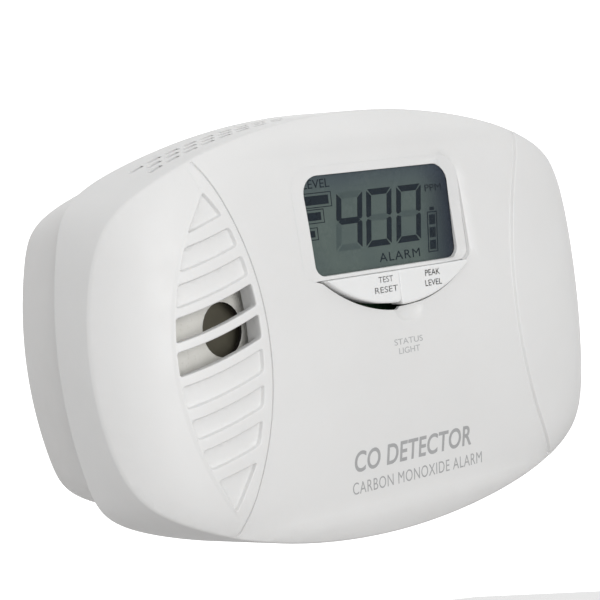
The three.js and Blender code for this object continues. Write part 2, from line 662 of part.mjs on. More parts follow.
// ---------------------------------------------------------------- cells
CELL_Z.forEach((z, i) => {
  const flip = i === 1 ? -1 : 1;
  const half = CELL_L / 2 - 0.6;
  let cell = rodX(CELL_Y, z, CELL_R, -half, half, 28);
  const nub = flip > 0 ? rodX(CELL_Y, z, 2.7, half - 1, half + 1.2, 16) : rodX(CELL_Y, z, 2.7, -half - 1.2, -half + 1, 16);
  cell = cell.add(nub);
  add(`battery_cell_${i + 1}`, cell, 0x2d3138, 0.4, 0.4);
});

// sheet contacts with coil pads, one plate each side
for (const s of [-1, 1]) {
  const x0 = s < 0 ? -CMP_X + 0.3 : CMP_X - 0.9;
  const x1 = x0 + 0.6;
  let plate = box(x0, x1, -18.5, -6.5, -43.5, -1.5);
  const negatives = s < 0 ? [CELL_Z[0], CELL_Z[2]] : [CELL_Z[1]];
  for (const z of negatives) {
    const g = new THREE.CylinderGeometry(1.6, 3.2, 3.6, 16);
    g.rotateZ(s < 0 ? -Math.PI / 2 : Math.PI / 2);
    g.translate(s < 0 ? x1 + 1.6 : x0 - 1.6, CELL_Y, z);
    plate = plate.add(toSolid(g));
  }
  const positives = s < 0 ? [CELL_Z[1]] : [CELL_Z[0], CELL_Z[2]];
  for (const z of positives) {
    plate = plate.add(s < 0 ? rodX(CELL_Y, z, 2.4, x1 - 0.2, x1 + 2.5, 14) : rodX(CELL_Y, z, 2.4, x0 - 2.5, x0 + 0.2, 14));
  }
  add(s < 0 ? 'battery_contact_left' : 'battery_contact_right', plate, 0xc9cbcc, 0.3, 0.95);
}

// ---------------------------------------------------------------- wall bracket
{
  let br = plateY(roundedRect(-BR_X, BR_X, BR_Z0, BR_Z1, 4, 4), BR_Y0, BR_Y1);
  for (const s of [-1, 1]) {
    // upright screw slots
    const slot = [];
    const r = 2.6;
    for (let i = 0; i <= 6; i += 1) {
      const a = (Math.PI * i) / 6;
      slot.push([s * SCREW_X + r * Math.cos(a), SCREW_Z + 3 + r * Math.sin(a)]);
    }
    for (let i = 0; i <= 6; i += 1) {
      const a = Math.PI + (Math.PI * i) / 6;
      slot.push([s * SCREW_X + r * Math.cos(a), SCREW_Z - 3 + r * Math.sin(a)]);
    }
    br = br.subtract(plateY(slot, -6, 2));
    // hook: stem through the housing wall and a lip turned up behind it
    br = br.add(box(s * HOOK_X - 4.8, s * HOOK_X + 4.8, -8.2, -2.0, HOOK_Z - 5, HOOK_Z));
    br = br.add(box(s * HOOK_X - 4.8, s * HOOK_X + 4.8, -8.2, -6.4, HOOK_Z - 5, HOOK_Z + 6.5));
  }
  add('wall_bracket', br, 0xd6d5d1, 0.6);
}

// the origin sits at the centre of the bracket's rear face
parts.position.set(0, 0, -(BR_Z0 + BR_Z1) / 2);

export default parts;
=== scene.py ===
import json
import math
import bmesh
import bpy
import numpy as np
from mathutils import Matrix, Vector
from mathutils.geometry import delaunay_2d_cdt

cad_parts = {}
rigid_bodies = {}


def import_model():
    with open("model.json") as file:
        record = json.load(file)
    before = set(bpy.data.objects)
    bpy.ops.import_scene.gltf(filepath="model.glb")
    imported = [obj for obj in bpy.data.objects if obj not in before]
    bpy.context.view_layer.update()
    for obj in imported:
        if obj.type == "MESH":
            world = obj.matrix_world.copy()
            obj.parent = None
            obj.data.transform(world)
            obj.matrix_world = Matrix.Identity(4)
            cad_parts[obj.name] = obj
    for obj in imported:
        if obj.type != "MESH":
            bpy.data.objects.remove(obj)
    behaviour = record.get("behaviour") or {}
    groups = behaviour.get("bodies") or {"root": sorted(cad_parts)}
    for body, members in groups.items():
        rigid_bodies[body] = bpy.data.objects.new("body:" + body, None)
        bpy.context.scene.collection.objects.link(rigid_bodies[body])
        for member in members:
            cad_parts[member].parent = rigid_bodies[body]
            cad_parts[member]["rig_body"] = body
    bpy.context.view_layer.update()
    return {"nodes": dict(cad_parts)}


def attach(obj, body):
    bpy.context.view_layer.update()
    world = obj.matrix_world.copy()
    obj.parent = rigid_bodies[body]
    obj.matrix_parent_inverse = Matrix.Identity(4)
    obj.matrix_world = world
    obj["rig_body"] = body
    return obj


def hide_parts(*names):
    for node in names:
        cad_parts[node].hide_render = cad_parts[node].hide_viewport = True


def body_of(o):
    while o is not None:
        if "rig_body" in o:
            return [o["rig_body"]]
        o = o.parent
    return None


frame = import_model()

MM = 0.001
ZS = -26.0                      # shape coordinates to the frame's origin, mm
NODES = frame["nodes"]
for name in ("Cube", "Light", "Camera"):            # objects of an untouched start file
    if name in bpy.data.objects and name not in NODES:
        bpy.data.objects.remove(bpy.data.objects[name], do_unlink=True)
BODY = {}
for _n, _o in NODES.items():
    BODY[_n] = body_of(_o)[0]
scene = bpy.context.scene

# ------------------------------------------------------------------ shape
HALF_W, HALF_H = 79.0, 54.9
BOW_SIDE, BOW_TOP = 12.8, 18.8
Q_SEAM, Q_FACE = 17.9, 7.4
APEX, SEAM_D = -62.0, 31.4
SEAM_Y = APEX + SEAM_D
DRAFT_X, DRAFT_Z = 0.025, 0.043
DOME_Z, CHEEK_FALL, CHEEK_EXP = 0.0017, 16.2, 6
EDGE_A, EDGE_B = 12.8, 3.1
WALL, CHEEK = 2.2, 0.9
REAR_IN_X, REAR_IN_Z, REAR_TAPER = 2.6, 3.1, 0.03
REAR_Y0, REAR_Y1 = -31.4, -1.8
WIN_X, WIN_Z0, WIN_Z1, RIM = 23.4, 13.4, 37.75, 2.2
RIM_X, TEST_Y, PEAK_Y = 3.6, -63.5, -62.5
KEY_TOP, KEY_LOW, KEY_R, KEY_CX = 12.4, 3.7, 36.0, 1.4
KEY_X0, KEY_SEAM, KEY_X1 = -21.9, 0.45, 24.0
RIB_Y = -56.4
TAU = 2 * math.pi


def outline(th, in_x=0.0, in_z=0.0, q=Q_SEAM):
    a0, b0 = HALF_W - in_x, HALF_H - in_z
    c, s = np.abs(np.cos(th)), np.abs(np.sin(th))
    lo, hi = np.full_like(th, 20.0), np.full_like(th, 130.0)
    for _ in range(60):
        r = (lo + hi) / 2
        x, z = r * c, r * s
        a = a0 - BOW_SIDE * (z / b0) ** 2
        h = b0 - BOW_TOP * (x / a0) ** 2
        ok = (a > 1) & (h > 1)
        f = np.where(ok, (x / np.maximum(a, 1)) ** q + (z / np.maximum(h, 1)) ** q, 2.0)
        g = f < 1
        lo, hi = np.where(g, r, lo), np.where(g, hi, r)
    return (lo + hi) / 2


TH = np.linspace(0, TAU, 4097)[:-1]
T_SEAM, T_FACE = outline(TH), outline(TH, q=Q_FACE)
T_REAR = outline(TH, REAR_IN_X, REAR_IN_Z)


def look(th, table, grid=TH):
    return np.interp(np.mod(th, TAU), grid, table, period=TAU)


def face_depth(x, z):
    return DOME_Z * z * z + CHEEK_FALL * (np.abs(x) / 79.0) ** CHEEK_EXP - CHEEK / 2


def wall_xz(th, d, t=0.0):
    u = 1 - np.minimum(d, SEAM_D) / SEAM_D
    r = look(th, T_SEAM) * (1 - u) + look(th, T_FACE) * u
    x = r * np.cos(th) * (1 - DRAFT_X * u)
    z = r * np.sin(th) * (1 - DRAFT_Z * u)
    l = np.hypot(x, z)
    return x * (l - t) / l, z * (l - t) / l


def crest(th):
    d = np.full_like(th, 10.0)
    for _ in range(10):
        x, z = wall_xz(th, d)
        d = face_depth(x, z) + EDGE_B
    x, z = wall_xz(th, d)
    return d, np.hypot(x, z), np.mod(np.arctan2(z, x), TAU)


_, C_R, C_PHI = crest(TH)
_o = np.argsort(C_PHI)
C_R, C_PHI = C_R[_o], C_PHI[_o]


def crest_r(x, z):
    return np.interp(np.mod(np.arctan2(z, x), TAU), C_PHI, C_R, period=TAU)


def skin_depth(x, z, t=0.0):
    """depth behind the front plane of the cover's skin, moved inward by t"""
    x, z = np.asarray(x, float), np.asarray(z, float)
    r_in = crest_r(x, z) - EDGE_A
    s = np.clip((np.hypot(x, z) - r_in) / (EDGE_A - t), 0, 1)
    return face_depth(x, z) + t + EDGE_B * (1 - np.sqrt(1 - s * s))


def panel_half(z):
    return 40.06 + 11.31 * (np.abs(z) / 43.35) ** 2.1


def lens_left(z):
    t = (np.asarray(z, float) + 1.0) / 38.5
    return -62.95 + 10.7 * t * t + 1.4 * np.abs(t) ** 4


def smooth(t):
    t = np.clip(t, 0, 1)
    return t * t * (3 - 2 * t)


def panel_step(z):
    return CHEEK * smooth((46.8 - np.abs(z)) / 4.5)


LENS_UP = 0.22


def lens_rise(x, z):
    w = -panel_half(z) - lens_left(z)
    return LENS_UP * smooth(w / 7.0)


def scoop(x, z, base):
    q = 1 - ((x - 3.4) / 4.4) ** 2 - ((z - 2.4) / 3.2) ** 2
    y = -62.0 + 1.55 * np.sqrt(np.maximum(q, 0))
    dip = np.where(q > 0, np.maximum(0, y - (APEX + base) + 0.05), 0.0)
    return dip


def lip(x, z):
    """soft roll of the panel into the display recess, right side only"""
    x, z = np.asarray(x, float), np.asarray(z, float)
    d = np.where(z > 33.5, np.hypot(np.maximum(x - 20.6, 0), z - 33.5) - 6.35, x - 26.95)
    d = np.where((z > 33.5) & (x < 20.6), z - 39.85, d)
    w = smooth((x - 17.0) / 6.5) * smooth((z - 10.5) / 4.0) * smooth((43 - z) / 3.0)
    return 0.75 * w * np.clip(1 - np.abs(d) / 2.5, 0, 1) ** 1.8


def depth_full(x, z, panel, lens):
    b = skin_depth(x, z)
    b = b + np.where(panel, lip(x, z), 0.0)
    b = b + np.where(panel, panel_step(z), 0.0) - np.where(lens, lens_rise(x, z), 0.0)
    b = b + np.where(panel, scoop(x, z, b), 0.0)
    return b


# ------------------------------------------------------------------ mesh help
def new_object(name, verts, faces, scale=MM, shift=True):
    me = bpy.data.meshes.new(name)
    v = np.asarray(verts, float).copy()
    if shift:
        v[:, 2] += ZS
    v *= scale
    me.from_pydata([tuple(p) for p in v], [], [tuple(int(i) for i in f) for f in faces])
    me.update()
    ob = bpy.data.objects.new(name, me)
    scene.collection.objects.link(ob)
    return ob


def tidy(ob, merge=2e-6, sharp=None):
    bm = bmesh.new()
    bm.from_mesh(ob.data)
    bmesh.ops.remove_doubles(bm, verts=bm.verts, dist=merge)
    bmesh.ops.dissolve_degenerate(bm, dist=merge, edges=bm.edges)
    bmesh.ops.recalc_face_normals(bm, faces=bm.faces)
    open_edges = sum(1 for e in bm.edges if len(e.link_faces) != 2)
    for f in bm.faces:
        f.smooth = True
    bm.to_mesh(ob.data)
    bm.free()
    if sharp is not None:
        ob.data.set_sharp_from_angle(angle=math.radians(sharp))
    ob["open_edges"] = open_edges
    return ob


def weighted(ob):
    m = ob.modifiers.new("normals", "WEIGHTED_NORMAL")
    m.keep_sharp = True
    m.mode = "FACE_AREA"
    m.weight = 50
    return ob


def bevelled(ob, width, segments=2, angle=35):
    m = ob.modifiers.new("edges", "BEVEL")
    m.width = width * MM
    m.segments = segments
    m.limit_method = "ANGLE"
    m.angle_limit = math.radians(angle)
    m.use_clamp_overlap = True
    m.harden_normals = False
    m.miter_outer = "MITER_ARC"
    return ob


def strip(a, b, closed=True):
    """quads between two index loops of the same length"""
    n = len(a)
    out = []
    for i in range(n if closed else n - 1):
        j = (i + 1) % n
        out.append((a[i], a[j], b[j], b[i]))
    return out


def area2(p):
    x, z = p[:, 0], p[:, 1]
    return 0.5 * np.sum(x * np.roll(z, -1) - np.roll(x, -1) * z)


def resample(p, step, closed=True):
    p = np.asarray(p, float)
    q = np.vstack([p, p[:1]]) if closed else p
    l = np.r_[0, np.cumsum(np.hypot(*np.diff(q, axis=0).T))]
    n = max(3, int(round(l[-1] / step)))
    t = np.linspace(0, l[-1], n + 1)
    if closed:
        t = t[:-1]
    return np.c_[np.interp(t, l, q[:, 0]), np.interp(t, l, q[:, 1])]


def offset(p, d):
    """closed loop moved inward by d"""
    a = np.roll(p, 1, axis=0)
    b = np.roll(p, -1, axis=0)
    e1 = p - a
    e2 = b - p
    e1 /= np.maximum(np.hypot(*e1.T), 1e-9)[:, None]
    e2 /= np.maximum(np.hypot(*e2.T), 1e-9)[:, None]
    n = np.c_[-(e1 + e2)[:, 1], (e1 + e2)[:, 0]]
    n /= np.maximum(np.hypot(*n.T), 1e-9)[:, None]
    c = np.maximum(0.5, np.abs(np.sum(n * np.c_[-e1[:, 1], e1[:, 0]], axis=1)))
    s = 1.0 if area2(p) > 0 else -1.0
    return p + n * (s * d / c)[:, None]


def round_corners(sides, r, step=0.7, arc=5):
    """closed loop from side polylines that meet at corners, each corner rounded by about r"""
    out = []
    k = len(sides)
    for i in range(k):
        s = resample(sides[i], 0.25, closed=False)
        l = np.r_[0, np.cumsum(np.hypot(*np.diff(s, axis=0).T))]
        rr = min(r, l[-1] * 0.42)
        n = max(1, int(round((l[-1] - 2 * rr) / step)))
        t = np.linspace(rr, l[-1] - rr, n + 1)
        pts = np.c_[np.interp(t, l, s[:, 0]), np.interp(t, l, s[:, 1])]
        nxt = resample(sides[(i + 1) % k], 0.25, closed=False)
        ln = np.r_[0, np.cumsum(np.hypot(*np.diff(nxt, axis=0).T))]
        rn = min(r, ln[-1] * 0.42)
        c = s[-1]
        q = np.array([np.interp(rn, ln, nxt[:, 0]), np.interp(rn, ln, nxt[:, 1])])
        out.extend(pts)
        for j in range(1, arc):
            w = j / arc
            out.append((1 - w) ** 2 * pts[-1] + 2 * w * (1 - w) * c + w * w * q)
    return np.array(out)


def inside(p, loop):
    """points inside a closed loop"""
    x, z = p[:, 0], p[:, 1]
    r = np.zeros(len(p), bool)
    a = loop
    b = np.roll(loop, -1, axis=0)
    for (x0, z0), (x1, z1) in zip(a, b):
        if z0 == z1:
            continue
        c = ((z0 > z) != (z1 > z)) & (x < (x1 - x0) * (z - z0) / (z1 - z0) + x0)
        r ^= c
    return r


def far_from(p, cloud, dist):
    keep = np.ones(len(p), bool)
    for i in range(0, len(p), 400):
        d = np.hypot(p[i:i + 400, None, 0] - cloud[None, :, 0], p[i:i + 400, None, 1] - cloud[None, :, 1])
        keep[i:i + 400] = d.min(1) > dist
    return keep


class Patch:
    """a triangulated sheet over (x, z) with its own depth at every input point"""

    def __init__(self):
        self.p, self.d, self.e = [], [], []

    def line(self, pts, depth, closed=True):
        s = len(self.p)
        depth = np.broadcast_to(np.asarray(depth, float), (len(pts),))
        for q, w in zip(pts, depth):
            self.p.append((float(q[0]), float(q[1])))
            self.d.append(float(w))
        n = len(pts)
        for i in range(n if closed else n - 1):
            self.e.append((s + i, s + (i + 1) % n))
        return list(range(s, s + n))

    def points(self, pts, depth):
        for q, w in zip(pts, depth):
            self.p.append((float(q[0]), float(q[1])))
            self.d.append(float(w))

    def build(self, outer, holes):
        vs, _, fs, orig, _, _ = delaunay_2d_cdt([Vector(q) for q in self.p], self.e, [], 0, 1e-5)
        co = np.array([(v.x, v.y) for v in vs])
        dep = np.zeros(len(vs))
        for i, o in enumerate(orig):
            dep[i] = self.d[o[0]] if o else np.nan
        f = np.array([list(t) for t in fs if len(t) == 3])
        bad = np.isnan(dep)
        if bad.any():                       # crossing constraints: take the neighbours' mean
            for i in np.where(bad)[0]:
                nb = np.unique(f[(f == i).any(1)])
                nb = nb[~np.isnan(dep[nb])]
                dep[i] = dep[nb].mean() if len(nb) else 0
        c = co[f].mean(1)
        ok = inside(c, outer)
        for h in holes:
            ok &= ~inside(c, h)
        return co, dep, f[ok], orig


# ------------------------------------------------------------------ openings
def louvre_z(n, x):
    u = (np.asarray(x, float) + 63.2) / 21.0
    return n + 3.86 * u + 2.24 * u * u


def lens_right(z):
    return -(panel_half(z) + 2.1 - 0.35 * np.tanh(np.asarray(z, float) / 8))


def cell_loop(z_low, z_high, left=0.0, r=0.9):
    def meet(base, edge):
        x = -55.0
        for _ in range(40):
            x = float(edge(louvre_z(base, x)))
        return x
    xl0, xl1 = meet(z_low, lens_left) + left, meet(z_high, lens_left) + left
    xr0, xr1 = meet(z_low, lens_right), meet(z_high, lens_right)
    t = np.linspace(0, 1, 30)
    low = np.c_[xl0 + (xr0 - xl0) * t, louvre_z(z_low, xl0 + (xr0 - xl0) * t)]
    high = np.c_[xr1 + (xl1 - xr1) * t, louvre_z(z_high, xr1 + (xl1 - xr1) * t)]
    zr = low[-1, 1] + (high[0, 1] - low[-1, 1]) * t
    right = np.c_[lens_right(zr), zr]
    zl = high[-1, 1] + (low[0, 1] - high[-1, 1]) * t
    left_side = np.c_[lens_left(zl) + left, zl]
    return round_corners([low, right, high, left_side], r)


OPEN = [cell_loop(a, b, r=0.7) for a, b in ((-4.45, 1.05), (3.25, 8.65))]
BLIND = [cell_loop(a, b) for a, b in ((10.85, 15.8), (18.5, 23.4), (-12.2, -6.9), (-19.85, -15.1), (-27.9, -22.8))]
BLIND.append(round_corners([np.array([a, b]) for a, b in (
    ((-56.6, 27.7), (-47.6, 30.9)), ((-47.6, 30.9), (-51.2, 36.6)), ((-51.2, 36.6), (-56.6, 27.7)))], 0.7))
BLIND.append(round_corners([np.array([a, b]) for a, b in (
    ((-56.4, -29.6), (-52.3, -37.6)), ((-52.3, -37.6), (-46.6, -27.0)), ((-46.6, -27.0), (-56.4, -29.6)))], 0.7))


def key_arc(x):
    x = np.asarray(x, float)
    return KEY_LOW + KEY_R - np.sqrt(KEY_R * KEY_R - (x - KEY_CX) ** 2)


def test_edge(x):
    return key_arc(x) - 0.15 + 1.0 * np.maximum(0.0, (np.asarray(x, float) + 21) / 21) ** 1.3


def peak_edge(x):
    return key_arc(x) + 0.05


def island_loop():
    tight = 0.06                                 # the cover closes on the rim's side
    x0, x1 = -WIN_X - RIM_X + tight, WIN_X + RIM_X - tight
    z0, z1 = 12.3, WIN_Z1 + RIM - tight
    pts = []
    for cx, cz, a0 in ((x1 - 6.4, z1 - 6.4, 0), (x0 + 6.4, z1 - 6.4, 90)):
        for i in range(13):
            a = math.radians(a0 + 90 * i / 12)
            pts.append((cx + 6.4 * math.cos(a), cz + 6.4 * math.sin(a)))
    r = 3.2
    for i in range(9):                           # left lower corner, down to the key edge
        a = math.radians(180 + 72 * i / 8)
        pts.append((x0 + r + r * math.cos(a), z0 + 0.25 + r + r * math.sin(a)))
    for i in range(1, 40):
        w = i / 39
        x = KEY_X0 - 0.6 + (KEY_SEAM - 0.1 - KEY_X0 + 0.6) * w
        pts.append((x, min(12.35, float(key_arc(x)) - 0.6 - 0.5 * w)))
    for i in range(0, 40):
        x = KEY_SEAM + 0.6 + (KEY_X1 + 0.2 - KEY_SEAM - 0.6) * i / 39
        pts.append((x, min(12.35, float(key_arc(x)) - 0.4)))
    for i in range(9):                           # right lower corner
        a = math.radians(-72 + 72 * i / 8)
        pts.append((x1 - r + r * math.cos(a), z0 + 0.25 + r + r * math.sin(a)))
    p = np.array(pts)
    keep = [0]
    for i in range(1, len(p)):
        if np.hypot(*(p[i] - p[keep[-1]])) > 0.12:
            keep.append(i)
    p = p[keep]
    # even spacing, with the sharp step under the key seam kept
    l = np.r_[0, np.cumsum(np.hypot(*np.diff(np.vstack([p, p[:1]]), axis=0).T))]
    t = np.unique(np.round(np.r_[np.linspace(0, l[-1], 230)[:-1]], 6))
    q = np.vstack([p, p[:1]])
    return np.c_[np.interp(t, l, q[:, 0]), np.interp(t, l, q[:, 1])]


ISLAND = island_loop()

# ------------------------------------------------------------------ front cover columns
VENT_ROWS = [(-48.2, 0.0), (-44.4, 2.6), (-40.6, 0.0)]
VENT_N, VENT_PITCH, VENT_W, VENT_H = 8, 5.2, 3.6, 1.9


def theta_at_x(x, d):
    g = np.linspace(math.pi / 2, math.radians(150), 3000)
    xs = wall_xz(g, np.full_like(g, d))[0]
    return float(np.interp(-x, -xs, g))


vent_x = sorted({round(-58.2 + s + i * VENT_PITCH + w, 4) for _, s in VENT_ROWS for i in range(VENT_N) for w in (0, VENT_W)})
vent_x.reverse()                                     # falling x, rising theta
vent_th = np.array([theta_at_x(x, 18.0) for x in vent_x])

_, _r, _p = crest(TH)
cx, cz = _r * np.cos(_p), _r * np.sin(_p)
_l = np.r_[0, np.cumsum(np.hypot(np.diff(cx), np.diff(cz)))]
_turn = np.unwrap(np.arctan2(np.diff(cz), np.diff(cx)))
_w = np.r_[0, np.cumsum(np.hypot(np.diff(cx), np.diff(cz))[1:] + 60 * np.abs(np.diff(_turn)))]
N0 = 320
_even = np.interp(np.linspace(0, _w[-1], N0 + 1)[:-1], _w, TH[:len(_w)])
_even = np.array([t for t in _even if np.abs(vent_th - t).min() > 0.006])
_even = np.array([t for t in _even if np.abs(np.array([0, math.pi / 2, math.pi, 1.5 * math.pi, TAU]) - t).min() > 0.004])
THC = np.sort(np.r_[_even, vent_th, 0, math.pi / 2, math.pi, 1.5 * math.pi])
NC = len(THC)
CD, CR, CP = crest(THC)
COL_OF = {round(x, 4): int(np.argmin(np.abs(THC - t))) for x, t in zip(vent_x, vent_th)}

# weight of the fixed vent rows in each column
_wx, _wz = wall_xz(THC, np.full_like(THC, 18.0))
VW = np.where(_wz > 0, smooth((_wx + 75) / 12.0) * smooth((0 - _wx) / 12.0), 0.0)
VW = np.where((_wz > 0) & (_wx > -59.5) & (_wx < -14.5), 1.0, VW)

ROWS_FIX = [-50.2, -48.2, -46.3, -44.4, -42.5, -40.6, -38.7, -35.5, -33.0]
_frac = [(y + 53.0) / (SEAM_Y - 0.5 + 53.0) for y in ROWS_FIX]


def row_y(j, y0):
    """height of wall row j in every column, starting below y0"""
    end = SEAM_Y - 0.5
    prop = y0 + (end - y0) * _frac[j]
    return VW * ROWS_FIX[j] + (1 - VW) * prop


def cover_mesh():
    verts, faces = [], []

    def add(pts):
        s = len(verts)
        verts.extend([tuple(map(float, q)) for q in pts])
        return list(range(s, s + len(pts)))

    # ---- outer face patch
    s_lim = math.sin(math.radians(72))
    c, s = np.cos(CP), np.sin(CP)
    r_edge = CR - EDGE_A * (1 - s_lim)
    ring = np.c_[r_edge * c, r_edge * s]
    P = Patch()
    is_panel = np.abs(ring[:, 0]) < panel_half(ring[:, 1])
    ring_d = depth_full(ring[:, 0], ring[:, 1], is_panel, False)
    P.line(ring, ring_d)
    cloud = [ring]

    # panel edges, left and right
    z = np.linspace(-48.0, 48.0, 129)
    half = panel_half(z)
    for sg in (-1, 1):
        g = 1.75 if sg < 0 else 1.12            # narrow groove along the step, deeper by the louvres
        for off, part in ((0.34, 0.0), (0.12, 0.06), (0.0, 0.24), (-0.14, 1.0), (-0.36, g), (-0.62, g), (-0.92, 1.0)):
            x = sg * (half + off)
            keep = np.hypot(x, z) < crest_r(x, z) - EDGE_A * (1 - s_lim) - 0.35
            xx, zz = x[keep], z[keep]
            lens = np.full(len(xx), sg < 0)
            base = skin_depth(xx, zz) - np.where(lens, lens_rise(xx, zz), 0) * (1 - part)
            P.line(np.c_[xx, zz], base + part * panel_step(zz), closed=False)
            cloud.append(np.c_[xx, zz])
    # raised lens round the louvres
    z = np.linspace(-42.6, 37.4, 110)
    for off, part in ((-1.25, 0.0), (-0.95, 0.08), (-0.42, 0.92), (-0.15, 1.0)):
        x = lens_left(z) + off
        ok = x < -panel_half(z) - 0.9
        xx, zz = x[ok], z[ok]
        P.line(np.c_[xx, zz], skin_depth(xx, zz) - part * lens_rise(xx, zz), closed=False)
        cloud.append(np.c_[xx, zz])

    # crease from the lens's upper tip to the top edge
    t = np.linspace(0, 1, 9)
    for off, part in ((-0.42, 0.0), (-0.12, 1.0), (0.14, 1.0), (0.44, 0.0)):
        xx, zz = -51.6 - 1.75 * t + off, 37.7 + 5.6 * t
        keep = np.hypot(xx, zz) < crest_r(xx, zz) - EDGE_A * (1 - s_lim) - 0.4
        P.line(np.c_[xx[keep], zz[keep]], skin_depth(xx[keep], zz[keep]) + 0.20 * part, closed=False)
        cloud.append(np.c_[xx[keep], zz[keep]])

    # blind cells
    for loop in BLIND:
        b = lambda q: skin_depth(q[:, 0], q[:, 1]) - lens_rise(q[:, 0], q[:, 1])
        for off, dd in ((-0.30, 0.0), (-0.12, 0.06), (0.0, 0.25), (0.13, 1.05), (0.34, 1.25)):
            q = offset(loop, off)
            P.line(q, b(q) + dd)
            cloud.append(q)
    # open slots
    for loop in OPEN:
        for off, dd in ((-0.34, 0.0), (-0.13, 0.07), (0.0, 0.32)):
            q = offset(loop, off)
            P.line(q, skin_depth(q[:, 0], q[:, 1]) - lens_rise(q[:, 0], q[:, 1]) + dd)
            cloud.append(q)
    # display and key opening
    for o in (2.6, 2.0, 1.45, 0.95, 0.5):
        zr = np.linspace(14.5, 33.4, 18)
        ar = np.radians(np.linspace(0, 80, 10))
        q = np.vstack([np.c_[np.full(18, 26.94 + o), zr],
                       np.c_[20.54 + (6.4 + o) * np.cos(ar), 33.49 + (6.4 + o) * np.sin(ar)]])
        P.line(q, depth_full(q[:, 0], q[:, 1], True, False), closed=False)
        cloud.append(q)
    for off, dd in ((-0.20, 0.0), (-0.07, 0.01), (0.0, 0.03)):
        q = offset(ISLAND, off)
        P.line(q, depth_full(q[:, 0], q[:, 1], True, False) + dd)
        cloud.append(q)

    # base grid
    g = []
    st = 2.3
    for j, zz in enumerate(np.arange(-54, 54.1, st * 0.866)):
        for xx in np.arange(-80, 80.1, st):
            g.append((xx + (st / 2 if j % 2 else 0), zz))
    for xx in np.arange(-1.6, 8.6, 0.45):
        for zz in np.arange(-1.6, 6.4, 0.45):
            g.append((xx, zz))
    g = np.array(g)
    lim = crest_r(g[:, 0], g[:, 1]) - EDGE_A * (1 - s_lim)
    g = g[np.hypot(g[:, 0], g[:, 1]) < lim - 0.9]
    dense = (g[:, 0] > -1.8) & (g[:, 0] < 8.8) & (g[:, 1] > -1.8) & (g[:, 1] < 6.6)
    cl = np.vstack(cloud)
    ok = np.where(dense, far_from(g, cl, 0.22), far_from(g, cl, 0.85))
    g = g[ok]
    # depth at every grid point: panel step, lens rise and sunk blind cells
    pan = np.abs(g[:, 0]) < panel_half(g[:, 1])
    lens = (g[:, 0] > lens_left(g[:, 1]) - 0.3) & (g[:, 0] < -panel_half(g[:, 1]))
    d = depth_full(g[:, 0], g[:, 1], pan, lens)
    for loop in BLIND:
        ins = inside(g, loop)
        d = d + np.where(ins, 1.25, 0.0)
    P.points(g, d)
    co, dep, tri, _ = P.build(ring, OPEN + [ISLAND])
    idx = add(np.c_[co[:, 0], APEX + dep, co[:, 1]])
    faces.extend([tuple(idx[i] for i in t) for t in tri])

    # ---- inner face patch
    s_in = math.sin(math.radians(72))
    r_in = CR - EDGE_A + (EDGE_A - WALL) * s_in
    ring_i = np.c_[r_in * c, r_in * s]

    def back_depth(x, zz):
        b = skin_depth(x, zz, WALL) + np.where(x < -41.5, 0.0, 0.5)
        seat = (np.abs(x) < 30) & (zz > 9) & (zz < 42)
        return np.where(seat, np.minimum(b, 3.6), b)

    B = Patch()
    ring_id = skin_depth(ring_i[:, 0], ring_i[:, 1], WALL)
    B.line(ring_i, ring_id)
    for loop in OPEN:
        B.line(loop, back_depth(loop[:, 0], loop[:, 1]))
    B.line(ISLAND, back_depth(ISLAND[:, 0], ISLAND[:, 1]))
    cl2 = np.vstack([ring_i, ISLAND] + OPEN)
    gx, gz = np.meshgrid(np.arange(-78, 79, 4.5), np.arange(-52, 53, 4.5))
    g = np.c_[gx.ravel(), gz.ravel()]
    lim = crest_r(g[:, 0], g[:, 1]) - EDGE_A + (EDGE_A - WALL) * s_in
    g = g[np.hypot(g[:, 0], g[:, 1]) < lim - 1.5]
    g = g[far_from(g, cl2, 1.2)]
    d = back_depth(g[:, 0], g[:, 1])
    B.points(g, d)
    co, dep, tri, _ = B.build(ring_i, OPEN + [ISLAND])
    idx = add(np.c_[co[:, 0], APEX + dep, co[:, 1]])
    faces.extend([tuple(idx[i] for i in t[::-1]) for t in tri])

    # ---- walls of the openings
    for loop in OPEN:
        f0 = skin_depth(loop[:, 0], loop[:, 1]) - lens_rise(loop[:, 0], loop[:, 1]) + 0.32
        f1 = back_depth(loop[:, 0], loop[:, 1])
        rows = [add(np.c_[loop[:, 0], APEX + f0 + (f1 - f0) * w, loop[:, 1]]) for w in (0, 0.15, 0.5, 1)]
        for a, b2 in zip(rows[:-1], rows[1:]):
            faces.extend(strip(a, b2))
    f0 = depth_full(ISLAND[:, 0], ISLAND[:, 1], True, False) + 0.03
    f1 = back_depth(ISLAND[:, 0], ISLAND[:, 1])
    rows = [add(np.c_[ISLAND[:, 0], APEX + f0 + (f1 - f0) * w, ISLAND[:, 1]]) for w in (0, 0.3, 1)]
    for a, b2 in zip(rows[:-1], rows[1:]):
        faces.extend(strip(a, b2))

    # ---- rib along the closed ends of the open slots
    zz = np.linspace(-3.5, 17.5, 30)
    lo_x, hi_x = lens_right(zz) + 0.02, lens_right(zz) + 1.4
    y0 = APEX + skin_depth(lo_x, zz) + 1.2
    ring4 = [add(np.c_[lo_x, y0, zz]), add(np.c_[hi_x, y0, zz]),
             add(np.c_[hi_x, np.full(30, RIB_Y), zz]), add(np.c_[lo_x, np.full(30, RIB_Y), zz])]
    for k in range(4):
        faces.extend(strip(ring4[k], ring4[(k + 1) % 4], closed=False))
    faces.append(tuple(r4[0] for r4 in ring4))
    faces.append(tuple(r4[-1] for r4 in ring4[::-1]))

